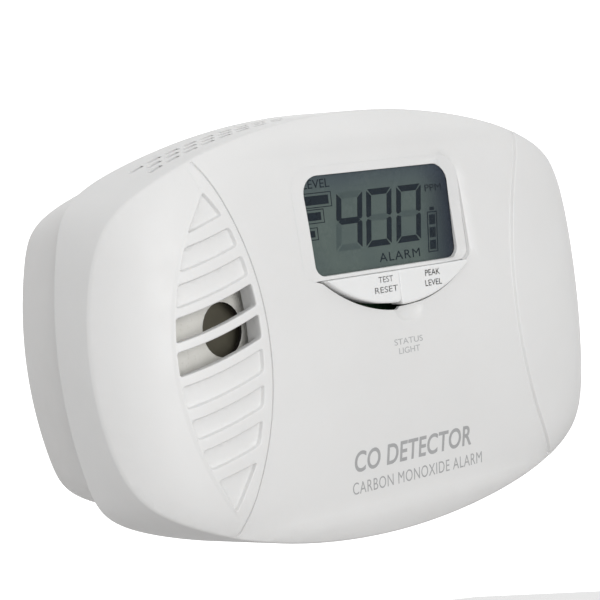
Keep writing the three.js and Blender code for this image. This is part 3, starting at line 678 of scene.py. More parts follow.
    # ---- shoulder and wall, outside
    outer = [add(np.c_[ring[:, 0], APEX + ring_d, ring[:, 1]])]
    for deg, part in ((78, 0.55), (84, 0.2)):
        sv = math.sin(math.radians(deg))
        r = CR - EDGE_A * (1 - sv)
        x, zz = r * c, r * s
        pan = np.abs(x) < panel_half(zz)
        outer.append(add(np.c_[x, APEX + skin_depth(x, zz) + np.where(pan, part * panel_step(zz), 0), zz]))
    x, zz = wall_xz(THC, CD)
    outer.append(add(np.c_[x, APEX + CD, zz]))
    y0 = APEX + CD
    fix = {}
    for j in range(len(ROWS_FIX)):
        y = row_y(j, y0)
        x, zz = wall_xz(THC, y - APEX)
        fix[j] = len(outer)
        outer.append(add(np.c_[x, y, zz]))
    for dy, t in ((0.5, 0.0), (0.2, 0.06), (0.05, 0.2), (0.0, 0.45)):
        x, zz = wall_xz(THC, np.full(NC, SEAM_D - dy), t)
        outer.append(add(np.c_[x, np.full(NC, SEAM_Y - dy), zz]))
    # ---- inside, from the seam back up
    inner = []
    for dy, t in ((0.0, WALL - 0.25), (0.2, WALL)):
        x, zz = wall_xz(THC, np.full(NC, SEAM_D - dy), t)
        inner.append(add(np.c_[x, np.full(NC, SEAM_Y - dy), zz]))
    fixi = {}
    for j in reversed(range(len(ROWS_FIX))):
        y = row_y(j, y0)
        x, zz = wall_xz(THC, y - APEX, WALL)
        fixi[j] = len(inner)
        inner.append(add(np.c_[x, y, zz]))
    r = CR - WALL
    x, zz = r * c, r * s
    inner.append(add(np.c_[x, APEX + skin_depth(x, zz, WALL), zz]))
    r = CR - EDGE_A + (EDGE_A - WALL) * math.sin(math.radians(81))
    x, zz = r * c, r * s
    inner.append(add(np.c_[x, APEX + skin_depth(x, zz, WALL), zz]))
    inner.append(add(np.c_[ring_i[:, 0], APEX + ring_id, ring_i[:, 1]]))

    # vent cells left out of the skins
    skip = set()
    for k, (y, sh) in enumerate(VENT_ROWS):
        j = 1 + 2 * k
        for i in range(VENT_N):
            c0 = COL_OF[round(-58.2 + sh + i * VENT_PITCH + VENT_W, 4)]
            c1 = COL_OF[round(-58.2 + sh + i * VENT_PITCH, 4)]
            for col in range(c0, c1):
                skip.add((j, col))
    allr = outer + inner
    rowtag = {fix[j]: j for j in fix}
    for a in range(len(allr) - 1):
        for i in range(NC):
            k = (i + 1) % NC
            if a in rowtag and (rowtag[a], i) in skip and a + 1 == fix.get(rowtag[a] + 1, -1):
                continue
            b2 = a - len(outer)
            if b2 >= 0 and b2 + 1 in fixi.values() or b2 >= 0 and b2 in fixi.values():
                j = next((jj for jj, v in fixi.items() if v == b2 + 1), None)
                if j is not None and (j, i) in skip and fixi.get(j + 1) == b2:
                    continue
            faces.append((allr[a][i], allr[a][k], allr[a + 1][k], allr[a + 1][i]))
    # vent slot walls
    for j, col in skip:
        o0, o1 = outer[fix[j]], outer[fix[j + 1]]
        n0, n1 = inner[fixi[j]], inner[fixi[j + 1]]
        k = (col + 1) % NC
        faces.append((o0[col], o0[k], n0[k], n0[col]))
        faces.append((o1[k], o1[col], n1[col], n1[k]))
        if (j, col - 1) not in skip:
            faces.append((o0[col], n0[col], n1[col], o1[col]))
        if (j, col + 1) not in skip:
            faces.append((o0[k], o1[k], n1[k], n0[k]))
    return verts, faces


cover = new_object("front_cover_shell", *cover_mesh())
tidy(cover, merge=3e-6, sharp=55)
weighted(cover)

# ------------------------------------------------------------------ materials
def ramp(nt, a, b, lo=0.35, hi=0.65):
    n = nt.nodes.new("ShaderNodeValToRGB")
    n.color_ramp.elements[0].position = lo
    n.color_ramp.elements[0].color = (*a, 1)
    n.color_ramp.elements[1].position = hi
    n.color_ramp.elements[1].color = (*b, 1)
    return n


def noise(nt, vec, size_mm, detail=3.0, rough=0.55, stretch=None):
    n = nt.nodes.new("ShaderNodeTexNoise")
    n.inputs["Scale"].default_value = 1000.0 / size_mm
    n.inputs["Detail"].default_value = detail
    n.inputs["Roughness"].default_value = rough
    if stretch is not None:
        m = nt.nodes.new("ShaderNodeMapping")
        m.inputs["Scale"].default_value = stretch
        nt.links.new(vec, m.inputs["Vector"])
        vec = m.outputs["Vector"]
    nt.links.new(vec, n.inputs["Vector"])
    return n


def surface(name, a, b, rough, grain=0.35, bump=0.012, blotch=22.0, metallic=0.0, coat=0.0,
            spec=0.5, speck=None, speck_amt=0.0, stretch=None, worn=None, worn_amt=0.0, sss=0.0, ior=1.5, tone_and_shade_ramps=None):
    m = bpy.data.materials.new(name)
    m.use_nodes = True
    nt = m.node_tree
    p = nt.nodes["Principled BSDF"]
    p.inputs["Metallic"].default_value = metallic
    p.inputs["IOR"].default_value = ior
    p.inputs["Specular IOR Level"].default_value = spec
    p.inputs["Coat Weight"].default_value = coat
    p.inputs["Coat Roughness"].default_value = 0.15
    if sss:
        p.inputs["Subsurface Weight"].default_value = sss
        p.inputs["Subsurface Radius"].default_value = (1.0, 0.9, 0.8)
        p.inputs["Subsurface Scale"].default_value = 0.0012
    tc = nt.nodes.new("ShaderNodeTexCoord").outputs["Object"]
    big = noise(nt, tc, blotch, 4.0, 0.6, stretch)
    cr = ramp(nt, a, b)
    nt.links.new(big.outputs["Fac"], cr.inputs["Fac"])
    colour = cr.outputs["Color"]
    if speck is not None:
        v = noise(nt, tc, 0.9, 2.0, 0.5)
        sr = ramp(nt, (0, 0, 0), (1, 1, 1), 0.60, 0.72)
        nt.links.new(v.outputs["Fac"], sr.inputs["Fac"])
        mul = nt.nodes.new("ShaderNodeMath")
        mul.operation = "MULTIPLY"
        mul.inputs[1].default_value = speck_amt
        nt.links.new(sr.outputs["Color"], mul.inputs[0])
        mx = nt.nodes.new("ShaderNodeMix")
        mx.data_type = "RGBA"
        mx.inputs["B"].default_value = (*speck, 1)
        nt.links.new(mul.outputs[0], mx.inputs["Factor"])
        nt.links.new(colour, mx.inputs["A"])
        colour = mx.outputs["Result"]
    if worn is not None:
        geo = nt.nodes.new("ShaderNodeNewGeometry")
        pr = ramp(nt, (0, 0, 0), (1, 1, 1), 0.50, 0.60)
        nt.links.new(geo.outputs["Pointiness"], pr.inputs["Fac"])
        wn = noise(nt, tc, 4.0, 4.0, 0.7)
        mul = nt.nodes.new("ShaderNodeMath")
        mul.operation = "MULTIPLY"
        nt.links.new(pr.outputs["Color"], mul.inputs[0])
        nt.links.new(wn.outputs["Fac"], mul.inputs[1])
        amt = nt.nodes.new("ShaderNodeMath")
        amt.operation = "MULTIPLY"
        amt.inputs[1].default_value = worn_amt
        nt.links.new(mul.outputs[0], amt.inputs[0])
        mx = nt.nodes.new("ShaderNodeMix")
        mx.data_type = "RGBA"
        mx.inputs["B"].default_value = (*worn, 1)
        nt.links.new(amt.outputs[0], mx.inputs["Factor"])
        nt.links.new(colour, mx.inputs["A"])
        colour = mx.outputs["Result"]
    if tone_and_shade_ramps is not None:
        # a colour ramp along an object axis, used for the LCD's painted shade and for the floor's tone: (colour, axis
        # index, from mm, to mm, amount)
        for col, axis, lo_mm, hi_mm, amount in tone_and_shade_ramps:
            sep = nt.nodes.new("ShaderNodeSeparateXYZ")
            nt.links.new(tc, sep.inputs["Vector"])
            mr = nt.nodes.new("ShaderNodeMapRange")
            mr.inputs["From Min"].default_value = lo_mm * MM
            mr.inputs["From Max"].default_value = hi_mm * MM
            mr.inputs["To Min"].default_value = 0.0
            mr.inputs["To Max"].default_value = amount
            mr.interpolation_type = "SMOOTHSTEP"
            nt.links.new(sep.outputs[axis], mr.inputs["Value"])
            mx = nt.nodes.new("ShaderNodeMix")
            mx.data_type = "RGBA"
            mx.inputs["B"].default_value = (*col, 1)
            nt.links.new(mr.outputs["Result"], mx.inputs["Factor"])
            nt.links.new(colour, mx.inputs["A"])
            colour = mx.outputs["Result"]
    nt.links.new(colour, p.inputs["Base Color"])
    rn = noise(nt, tc, 6.0, 4.0, 0.6, stretch)
    mr = nt.nodes.new("ShaderNodeMapRange")
    mr.inputs["From Min"].default_value = 0.3
    mr.inputs["From Max"].default_value = 0.7
    mr.inputs["To Min"].default_value = rough[0]
    mr.inputs["To Max"].default_value = rough[1]
    nt.links.new(rn.outputs["Fac"], mr.inputs["Value"])
    nt.links.new(mr.outputs["Result"], p.inputs["Roughness"])
    if bump:
        gn = noise(nt, tc, grain, 2.0, 0.5, stretch)
        bp = nt.nodes.new("ShaderNodeBump")
        bp.inputs["Strength"].default_value = 0.5
        bp.inputs["Distance"].default_value = bump * MM
        nt.links.new(gn.outputs["Fac"], bp.inputs["Height"])
        nt.links.new(bp.outputs["Normal"], p.inputs["Normal"])
    return m


M_FRONT = surface("front_shell_plastic", (0.742, 0.742, 0.738), (0.718, 0.717, 0.712), (0.40, 0.52), grain=0.30, bump=0.016,
                  blotch=45, sss=0.12, worn=(0.80, 0.80, 0.80), worn_amt=0.2, speck=(0.62, 0.61, 0.59), speck_amt=0.05)
M_REAR = surface("rear_shell_plastic", (0.725, 0.720, 0.714), (0.695, 0.690, 0.682), (0.44, 0.56), grain=0.34, bump=0.022,
                 blotch=40, sss=0.10, worn=(0.80, 0.80, 0.80), worn_amt=0.2, speck=(0.62, 0.60, 0.56), speck_amt=0.06)
M_KEY = surface("key_plastic", (0.800, 0.806, 0.806), (0.780, 0.784, 0.782), (0.34, 0.44), grain=0.22, bump=0.008, blotch=18, sss=0.12)
M_BEZEL = surface("bezel_plastic", (0.770, 0.774, 0.772), (0.750, 0.752, 0.748), (0.32, 0.42), grain=0.22, bump=0.008, blotch=18, sss=0.1)
M_BRACKET = surface("bracket_plastic", (0.70, 0.695, 0.675), (0.64, 0.635, 0.61), (0.46, 0.6), grain=0.5, bump=0.03, blotch=15,
                    worn=(0.8, 0.8, 0.78), worn_amt=0.4)
M_CARRIER = surface("carrier_plastic", (0.62, 0.62, 0.60), (0.56, 0.56, 0.54), (0.45, 0.6), grain=0.4, bump=0.02, blotch=12)
M_CHAMBER = surface("chamber_plastic", (0.86, 0.85, 0.81), (0.80, 0.79, 0.74), (0.5, 0.62), grain=0.5, bump=0.03, blotch=7,
                    speck=(0.4, 0.36, 0.3), speck_amt=0.15)
# near-black painted shade for the inner walls of the cream horn chamber round the port
M_CAVITY_SHADE = surface("cavity_painted_shade", (0.022, 0.016, 0.012), (0.012, 0.009, 0.008), (0.6, 0.8), grain=0.5, bump=0.03, blotch=5)
M_BAFFLE = surface("baffle_sheet", (0.150, 0.138, 0.100), (0.120, 0.112, 0.082), (0.55, 0.7), grain=0.4, bump=0.02, blotch=9)
# painted shade and reflection: the cell fades to dark navy towards the right wall of the recess, so its left part stays
# lighter like a reflection; a second ramp makes the top darker and bluer
M_LCD = surface("lcd_cell", (0.098, 0.128, 0.118), (0.084, 0.112, 0.108), (0.22, 0.30), grain=0.5, bump=0.0, blotch=14, spec=0.12,
                tone_and_shade_ramps=[((0.010, 0.015, 0.032), 0, 11.0, 25.0, 0.92), ((0.040, 0.054, 0.084), 2, 4.0, 13.0, 0.50)])
M_SEG = surface("lcd_segment", (0.007, 0.013, 0.020), (0.010, 0.017, 0.024), (0.25, 0.35), grain=0.5, bump=0.0, blotch=3, spec=0.1)
# the unlit segments carry the same painted shade towards the right
M_GHOST = surface("lcd_segment_off", (0.070, 0.094, 0.092), (0.062, 0.086, 0.086), (0.25, 0.35), grain=0.5, bump=0.0, blotch=3, spec=0.12,
                  tone_and_shade_ramps=[((0.010, 0.015, 0.032), 0, 11.0, 25.0, 0.92)])
M_INK = surface("grey_ink", (0.35, 0.352, 0.356), (0.39, 0.392, 0.396), (0.45, 0.6), grain=0.12, bump=0.006, blotch=1.5)
M_INK_SOFT = surface("pale_grey_ink", (0.40, 0.405, 0.41), (0.45, 0.455, 0.46), (0.45, 0.6), grain=0.12, bump=0.006, blotch=1.2)
M_ELAST = surface("elastomer", (0.55, 0.16, 0.20), (0.48, 0.12, 0.17), (0.55, 0.7), grain=0.3, bump=0.02, blotch=4)
# dark green board, darkened further so it reads black at the bottom of the gap: partly its own colour, partly painted
# shade
M_BOARD = surface("circuit_board", (0.010, 0.040, 0.018), (0.014, 0.052, 0.024), (0.30, 0.42), grain=0.8, bump=0.02, blotch=6,
                  speck=(0.35, 0.30, 0.14), speck_amt=0.35)
M_BLACK = surface("component_black", (0.020, 0.020, 0.022), (0.032, 0.032, 0.034), (0.4, 0.55), grain=0.3, bump=0.015, blotch=3)
M_LED = surface("led_lens", (0.60, 0.61, 0.61), (0.68, 0.69, 0.69), (0.10, 0.18), grain=0.6, bump=0.004, blotch=2, coat=0.4)
M_SENSOR = surface("sensor_steel", (0.55, 0.56, 0.57), (0.62, 0.63, 0.64), (0.25, 0.38), grain=0.4, bump=0.008, blotch=8, metallic=1.0,
                   stretch=(1, 1, 6))
M_BRASS = surface("horn_brass", (0.42, 0.30, 0.12), (0.50, 0.37, 0.16), (0.3, 0.45), grain=0.5, bump=0.01, blotch=5, metallic=1.0)
M_CERAMIC = surface("ceramic", (0.70, 0.68, 0.62), (0.66, 0.64, 0.58), (0.5, 0.65), grain=0.3, bump=0.01, blotch=4)
M_STEEL = surface("screw_steel", (0.52, 0.52, 0.53), (0.62, 0.62, 0.62), (0.28, 0.45), grain=0.6, bump=0.012, blotch=2.5, metallic=1.0)
M_SPRING = surface("contact_steel", (0.66, 0.66, 0.65), (0.74, 0.74, 0.73), (0.2, 0.34), grain=0.8, bump=0.01, blotch=5, metallic=1.0,
                   stretch=(1, 1, 5))


def band_material(name):
    """cell wrapper: dark sleeve, copper-toned band at one end, bare metal at the very ends"""
    m = surface(name, (0.030, 0.034, 0.042), (0.022, 0.026, 0.034), (0.24, 0.34), grain=0.9, bump=0.006, blotch=6, coat=0.3)
    nt = m.node_tree
    p = nt.nodes["Principled BSDF"]
    src = p.inputs["Base Color"].links[0].from_socket
    tc = nt.nodes.new("ShaderNodeTexCoord").outputs["Object"]
    sep = nt.nodes.new("ShaderNodeSeparateXYZ")
    nt.links.new(tc, sep.inputs["Vector"])
    ab = nt.nodes.new("ShaderNodeMath")
    ab.operation = "ABSOLUTE"
    nt.links.new(sep.outputs["X"], ab.inputs[0])
    band = nt.nodes.new("ShaderNodeMapRange")
    band.inputs["From Min"].default_value = 0.0120
    band.inputs["From Max"].default_value = 0.0122
    nt.links.new(sep.outputs["X"], band.inputs["Value"])
    mx = nt.nodes.new("ShaderNodeMix")
    mx.data_type = "RGBA"
    mx.inputs["B"].default_value = (0.50, 0.26, 0.10, 1)
    nt.links.new(band.outputs["Result"], mx.inputs["Factor"])
    nt.links.new(src, mx.inputs["A"])
    tip = nt.nodes.new("ShaderNodeMapRange")
    tip.inputs["From Min"].default_value = 0.02350
    tip.inputs["From Max"].default_value = 0.02362
    nt.links.new(ab.outputs[0], tip.inputs["Value"])
    mx2 = nt.nodes.new("ShaderNodeMix")
    mx2.data_type = "RGBA"
    mx2.inputs["B"].default_value = (0.62, 0.62, 0.60, 1)
    nt.links.new(tip.outputs["Result"], mx2.inputs["Factor"])
    nt.links.new(mx.outputs["Result"], mx2.inputs["A"])
    nt.links.new(mx2.outputs["Result"], p.inputs["Base Color"])
    nt.links.new(tip.outputs["Result"], p.inputs["Metallic"])
    return m


M_CELL = band_material("cell_wrap")


def window_material():
    m = bpy.data.materials.new("clear_window")
    m.use_nodes = True
    nt = m.node_tree
    p = nt.nodes["Principled BSDF"]
    p.inputs["Base Color"].default_value = (0.93, 0.95, 0.97, 1)
    p.inputs["Metallic"].default_value = 1.0
    fr = nt.nodes.new("ShaderNodeFresnel")
    fr.inputs["IOR"].default_value = 1.42
    geo = nt.nodes.new("ShaderNodeNewGeometry")
    front = nt.nodes.new("ShaderNodeMath")
    front.operation = "SUBTRACT"
    front.inputs[0].default_value = 1.0
    nt.links.new(geo.outputs["Backfacing"], front.inputs[1])
    one = nt.nodes.new("ShaderNodeMath")
    one.operation = "MULTIPLY"
    nt.links.new(fr.outputs["Fac"], one.inputs[0])
    nt.links.new(front.outputs[0], one.inputs[1])
    nt.links.new(one.outputs[0], p.inputs["Alpha"])
    tc = nt.nodes.new("ShaderNodeTexCoord").outputs["Object"]
    rn = noise(nt, tc, 12.0, 3.0, 0.6)
    mr = nt.nodes.new("ShaderNodeMapRange")
    mr.inputs["To Min"].default_value = 0.03
    mr.inputs["To Max"].default_value = 0.10
    nt.links.new(rn.outputs["Fac"], mr.inputs["Value"])
    nt.links.new(mr.outputs["Result"], p.inputs["Roughness"])
    return m


M_WINDOW = window_material()


def paint(ob, *mats):
    ob.data.materials.clear()
    for m in mats:
        ob.data.materials.append(m)
    return ob


def place(ob, node, slot, *more):
    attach(ob, BODY[node])
    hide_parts(node, *more)
    return ob


paint(cover, M_FRONT)
place(cover, "front_cover", "shell_front")


# ------------------------------------------------------------------ copies of CAD solids with softened edges
def clean_copy(node, name, mat, slot, bevel=0.2, segments=2, angle=32, flat=1.0, sharp=32, ride=True):
    bm = bmesh.new()
    bm.from_mesh(NODES[node].data)
    bmesh.ops.remove_doubles(bm, verts=bm.verts, dist=3e-6)
    if flat:
        bmesh.ops.dissolve_limit(bm, angle_limit=math.radians(flat), use_dissolve_boundaries=False,
                                 verts=bm.verts, edges=bm.edges, delimit=set())
    bmesh.ops.recalc_face_normals(bm, faces=bm.faces)
    for f in bm.faces:
        f.smooth = True
    me = bpy.data.meshes.new(name)
    bm.to_mesh(me)
    bm.free()
    ob = bpy.data.objects.new(name, me)
    scene.collection.objects.link(ob)
    me.set_sharp_from_angle(angle=math.radians(sharp))
    if bevel:
        bevelled(ob, bevel, segments, angle)
        m = ob.modifiers["edges"]
        m.harden_normals = True
    paint(ob, mat)
    if ride:
        place(ob, node, slot)
    return ob


# ------------------------------------------------------------------ rear housing
def rear_r(th, y):
    f = max(0.0, (y - REAR_Y0) / (REAR_Y1 - REAR_Y0))
    return look(th, T_REAR) * (1 - REAR_TAPER * f)


def rear_mesh():
    bm = bmesh.new()
    bm.from_mesh(NODES["rear_housing"].data)
    bmesh.ops.remove_doubles(bm, verts=bm.verts, dist=3e-6)
    for v in bm.verts:
        v.co = Vector((v.co.x / MM, v.co.y / MM, v.co.z / MM - ZS))
    ys = [REAR_Y0, REAR_Y1 - 2.5, REAR_Y1 - 0.7, REAR_Y1]
    ts = [0.0, 0.0, 0.8, 2.6]

    def goal(v):
        th = math.atan2(v.co.z, v.co.x) % TAU
        return th, float(rear_r(np.array([th]), v.co.y)[0]) - float(np.interp(v.co.y, ys, ts))

    band = set()
    for v in bm.verts:
        if REAR_Y0 - 0.01 < v.co.y < REAR_Y1 + 0.01 and abs(math.hypot(v.co.x, v.co.z) - goal(v)[1]) < 0.25:
            band.add(v)
    old = set(bm.verts)
    cut = [e for e in bm.edges if all(v in band for v in e.verts)
           and (e.verts[0].co - e.verts[1].co).length > 1.2
           and abs(math.hypot(*((e.verts[0].co + e.verts[1].co) / 2).xz) - goal_mid(e, goal)) < 0.6]
    bmesh.ops.subdivide_edges(bm, edges=cut, cuts=3, use_grid_fill=True)
    for v in bm.verts:
        if v in old or not (REAR_Y0 - 0.01 < v.co.y < REAR_Y1 + 0.01):
            continue
        th, r = goal(v)
        if abs(math.hypot(v.co.x, v.co.z) - r) < 0.6:
            v.co.x, v.co.z = r * math.cos(th), r * math.sin(th)
    for v in bm.verts:
        v.co = Vector((v.co.x * MM, v.co.y * MM, (v.co.z + ZS) * MM))
    bm.normal_update()
    bmesh.ops.recalc_face_normals(bm, faces=bm.faces)
    for f in bm.faces:
        f.smooth = True
    me = bpy.data.meshes.new("rear_housing_shell")
    bad = sum(1 for e in bm.edges if len(e.link_faces) != 2)
    bm.to_mesh(me)
    bm.free()
    ob = bpy.data.objects.new("rear_housing_shell", me)
    scene.collection.objects.link(ob)
    print("rear shell: open edges", bad, "verts", len(me.vertices))
    return ob


def goal_mid(e, goal):
    class P:
        co = (e.verts[0].co + e.verts[1].co) / 2
    return goal(P)[1]


rear = rear_mesh()
rear.data.set_sharp_from_angle(angle=math.radians(28))
weighted(rear)
paint(rear, M_REAR)
place(rear, "rear_housing", "shell_rear")

door = clean_copy("battery_door", "battery_door_panel", M_REAR, "shell_rear", bevel=0.25)
bracket = clean_copy("wall_bracket", "wall_bracket_plate", M_BRACKET, "bracket_plastic", bevel=0.35)
chamber = clean_copy("horn_chamber", "horn_chamber_cup", M_CHAMBER, "chamber_plastic", bevel=0.3, flat=0.5)
chamber.data.materials.append(M_CAVITY_SHADE)
# faces inside the cup and the port tube take the painted shade
for f in chamber.data.polygons:
    c = f.center / MM
    rr = math.hypot(c.x + 46.0, (c.z - ZS) - 4.2)
    if rr < 15.6 and c.y > -51.4 and rr < 15.35:
        f.material_index = 1
    if rr < 6.6 and c.y > -51.9:
        f.material_index = 1

for node, mat, slot, bv in (
        ("horn_baffle", M_BAFFLE, "component_black", 0.1),
        ("lcd_frame", M_CARRIER, "carrier_plastic", 0.2), ("lcd_strip_top", M_ELAST, "elastomer", 0.3),
        ("lcd_strip_bottom", M_ELAST, "elastomer", 0.3), ("main_board", M_BOARD, "board", 0.1),
        ("microcontroller", M_BLACK, "component_black", 0.2), ("horn_driver_coil", M_BLACK, "component_black", 0.4),
        ("capacitor_main", M_BLACK, "component_black", 0.4), ("capacitor_small", M_BLACK, "component_black", 0.3),
        ("alarm_led", M_LED, "led_lens", 0.25), ("sensor_can", M_SENSOR, "sensor_metal", 0.5),
        ("sensor_cap", M_CERAMIC, "ceramic", 0.4), ("horn_disc", M_BRASS, "brass", 0.1),
        ("horn_ceramic", M_CERAMIC, "ceramic", 0.1), ("test_plunger", M_BLACK, "component_black", 0.2),
        ("peak_plunger", M_BLACK, "component_black", 0.2), ("test_switch", M_BLACK, "component_black", 0.2),
        ("peak_switch", M_BLACK, "component_black", 0.2),
        ("battery_contact_left", M_SPRING, "contact_steel", 0.1), ("battery_contact_right", M_SPRING, "contact_steel", 0.1)):
    clean_copy(node, node + "_body", mat, slot, bevel=bv)
for i in range(1, 5):
    clean_copy("case_screw_%d" % i, "case_screw_%d_body" % i, M_STEEL, "screw_steel", bevel=0.12)
for i in range(1, 4):
    clean_copy("battery_cell_%d" % i, "battery_cell_%d_body" % i, M_CELL, "cell_wrap", bevel=0.5, segments=3)


# ------------------------------------------------------------------ display
def rrect(x0, x1, z0, z1, r, low=None, n=10, side=6):
    pts = []
    low = low or r
    c = [(x1 - low, z0 + low, -90, low), (x1 - r, z1 - r, 0, r), (x0 + r, z1 - r, 90, r), (x0 + low, z0 + low, 180, low)]
    for k, (px, pz, a0, rad) in enumerate(c):
        for i in range(n + 1):
            a = math.radians(a0 + 90 * i / n)
            pts.append((px + rad * math.cos(a), pz + rad * math.sin(a)))
        nx, nz, b0, nr = c[(k + 1) % 4]
        q = (nx + nr * math.cos(math.radians(b0)), nz + nr * math.sin(math.radians(b0)))
        for i in range(1, side):
            w = i / side
            pts.append((pts[-1][0] + (q[0] - pts[-1][0]) / (side - i + 1), pts[-1][1] + (q[1] - pts[-1][1]) / (side - i + 1)))
    return np.array(pts)


def ring_solid(name, rows, closed_tube):
    """rows of (loop, y); a closed tube joins the last row to the first, otherwise both ends are capped"""
    verts, faces, idx = [], [], []
    for loop, y in rows:
        s = len(verts)
        yy = np.broadcast_to(np.asarray(y, float), (len(loop),))
        verts.extend([(p[0], w, p[1]) for p, w in zip(loop, yy)])
        idx.append(list(range(s, s + len(loop))))
    for a, b in zip(idx[:-1], idx[1:]):
        faces.extend(strip(a, b))
    if closed_tube:
        faces.extend(strip(idx[-1], idx[0]))
    else:
        faces.append(tuple(idx[0]))
        faces.append(tuple(idx[-1][::-1]))
    return new_object(name, verts, faces)


WX0, WX1 = -23.4, 23.4
outer = rrect(-WIN_X - RIM_X, WIN_X + RIM_X, KEY_TOP + 0.08, WIN_Z1 + RIM, 6.4, 3.0)
hole = rrect(WX0, WX1, WIN_Z0, WIN_Z1, 4.9, 2.8)
pocket = rrect(WX0 - 1.1, WX1 + 1.1, WIN_Z0 - 0.1, WIN_Z1 + 1.1, 3.0)


def rim_y(q, w):
    """rim front: flush with the panel, sunk on the right, w from 0 outside to 1 at the opening"""
    base = APEX + skin_depth(q[:, 0], q[:, 1]) + CHEEK
    side = smooth((q[:, 0] - 19.0) / 4.0)
    fall = 1.9 - 0.35 * w
    return np.minimum(base + side * fall - 0.005 * (1 - w), -58.7 + 0.1 * w)


rows = [(outer, -58.4)]
for w in (0.0, 0.15, 0.3, 0.42, 0.5, 0.58, 0.7, 0.85, 0.95):
    q = outer + (hole - outer) * w
    rows.append((q, rim_y(q, w)))
edge = rim_y(hole, 1.0)
rows += [(offset(hole, -0.03), edge + 0.04), (hole, np.minimum(edge + 0.15, -58.5)), (hole, -58.45), (pocket, -58.42), (pocket, -58.4)]
bezel = tidy(ring_solid("display_bezel_rim", rows, True), sharp=50)
weighted(bezel)
paint(bezel, M_FRONT)
place(bezel, "display_bezel", "key_plastic")

pane = rrect(WX0 + 0.05, WX1 - 0.05, WIN_Z0 + 0.05, WIN_Z1 - 0.05, 4.85, 2.75)
window = tidy(ring_solid("display_window_pane", [
    (offset(pane, 0.1), -58.62), (pane, -58.54), (pane, -58.26), (offset(pane, 0.1), -58.22)], False), sharp=30)
paint(window, M_WINDOW)
place(window, "display_window", "clear_window")
window.visible_shadow = False

glass = clean_copy("lcd_glass", "lcd_glass_cell", M_LCD, "lcd_cell", bevel=0.15)


def flat_prisms(name, polys, y_front, y_back):
    verts, faces = [], []
    for p in polys:
        p = np.asarray(p, float)
        if area2(p) < 0:
            p = p[::-1]
        n, s = len(p), len(verts)
        verts.extend([(q[0], y_front, q[1]) for q in p])
        verts.extend([(q[0], y_back, q[1]) for q in p])
        faces.append(tuple(range(s, s + n)))
        faces.append(tuple(range(s + 2 * n - 1, s + n - 1, -1)))
        faces.extend(strip(list(range(s, s + n)), list(range(s + n, s + 2 * n))))
    ob = new_object(name, verts, faces)
    bm = bmesh.new()
    bm.from_mesh(ob.data)
    bmesh.ops.recalc_face_normals(bm, faces=bm.faces)
    bm.to_mesh(ob.data)
    bm.free()
    return ob


def seven_segment(x0, z0, w, h, t, lean, on):
    g = 0.16
    m = h / 2
    k = t / 2
    seg = {
        "a": [(g + 0.2, h), (w - g - 0.2, h), (w - t - g, h - t), (t + g, h - t)],
        "d": [(t + g, t), (w - t - g, t), (w - g - 0.2, 0), (g + 0.2, 0)],
        "f": [(0, h - g - 0.2), (t, h - t - g), (t, m + k * 0.55 + g), (0.45, m + g), (0, m + g + 0.5)],
        "e": [(0, m - g - 0.5), (0.45, m - g), (t, m - k * 0.55 - g), (t, t + g), (0, g + 0.2)],
        "b": [(w - t, h - t - g), (w, h - g - 0.2), (w, m + g + 0.5), (w - 0.45, m + g), (w - t, m + k * 0.55 + g)],
        "c": [(w - t, t + g), (w - t, m - k * 0.55 - g), (w - 0.45, m - g), (w, m - g - 0.5), (w, g + 0.2)],
        "g": [(0.45 + g, m), (t + g * 0.5, m + k), (w - t - g * 0.5, m + k), (w - 0.45 - g, m), (w - t - g * 0.5, m - k), (t + g * 0.5, m - k)],
    }
    lit, off = [], []
    for name, poly in seg.items():
        q = [(x0 + px + lean * pz, z0 + pz) for px, pz in poly]
        (lit if name in on else off).append(q)
    return lit, off


def lean_rect(x0, x1, z0, z1, lean=0.14, zr=18.8):
    return [(x0 + lean * (z0 - zr), z0), (x1 + lean * (z0 - zr), z0), (x1 + lean * (z1 - zr), z1), (x0 + lean * (z1 - zr), z1)]


def frame_rect(x0, x1, z0, z1, w=0.22, lean=0.0):
    return [lean_rect(x0, x1, z0, z0 + w, lean), lean_rect(x0, x1, z1 - w, z1, lean),
            lean_rect(x0, x0 + w, z0 + w, z1 - w, lean), lean_rect(x1 - w, x1, z0 + w, z1 - w, lean)]


LIT, OFF = [], []
for x0, on in ((-14.35, "bcfg"), (-4.95, "abcdef"), (4.75, "abcdef")):
    a, b = seven_segment(x0, 18.8, 8.1, 14.3, 1.55, 0.14, on)
    LIT += a
    OFF += b
# level bars: longest at the top
for z0, z1, x1 in ((30.75, 32.95, -15.0), (27.0, 28.95, -17.8), (23.0, 24.6, -20.2)):
    LIT.append([(-24.6, z0), (x1, z0), (x1, z1), (-24.6, z1)])
    LIT += frame_rect(-25.4, x1 + 0.95, z0 - 0.75, z1 + 0.75, 0.2)
# battery symbol
LIT += frame_rect(15.2, 18.5, 15.4, 25.7, 0.26, 0.10)
for z0, z1 in ((22.4, 24.9), (19.1, 21.7), (16.1, 18.4)):
    LIT.append(lean_rect(15.85, 17.85, z0, z1, 0.10))
LIT.append(lean_rect(16.1, 17.6, 26.0, 26.8, 0.10))
LCD_Y = -58.1
segments = flat_prisms("lcd_segments_on", LIT, LCD_Y - 0.06, LCD_Y - 0.01)
paint(segments, M_SEG)
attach(segments, BODY["lcd_glass"])
ghost = flat_prisms("lcd_segments_off", OFF, LCD_Y - 0.04, LCD_Y - 0.01)
paint(ghost, M_GHOST)
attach(ghost, BODY["lcd_glass"])


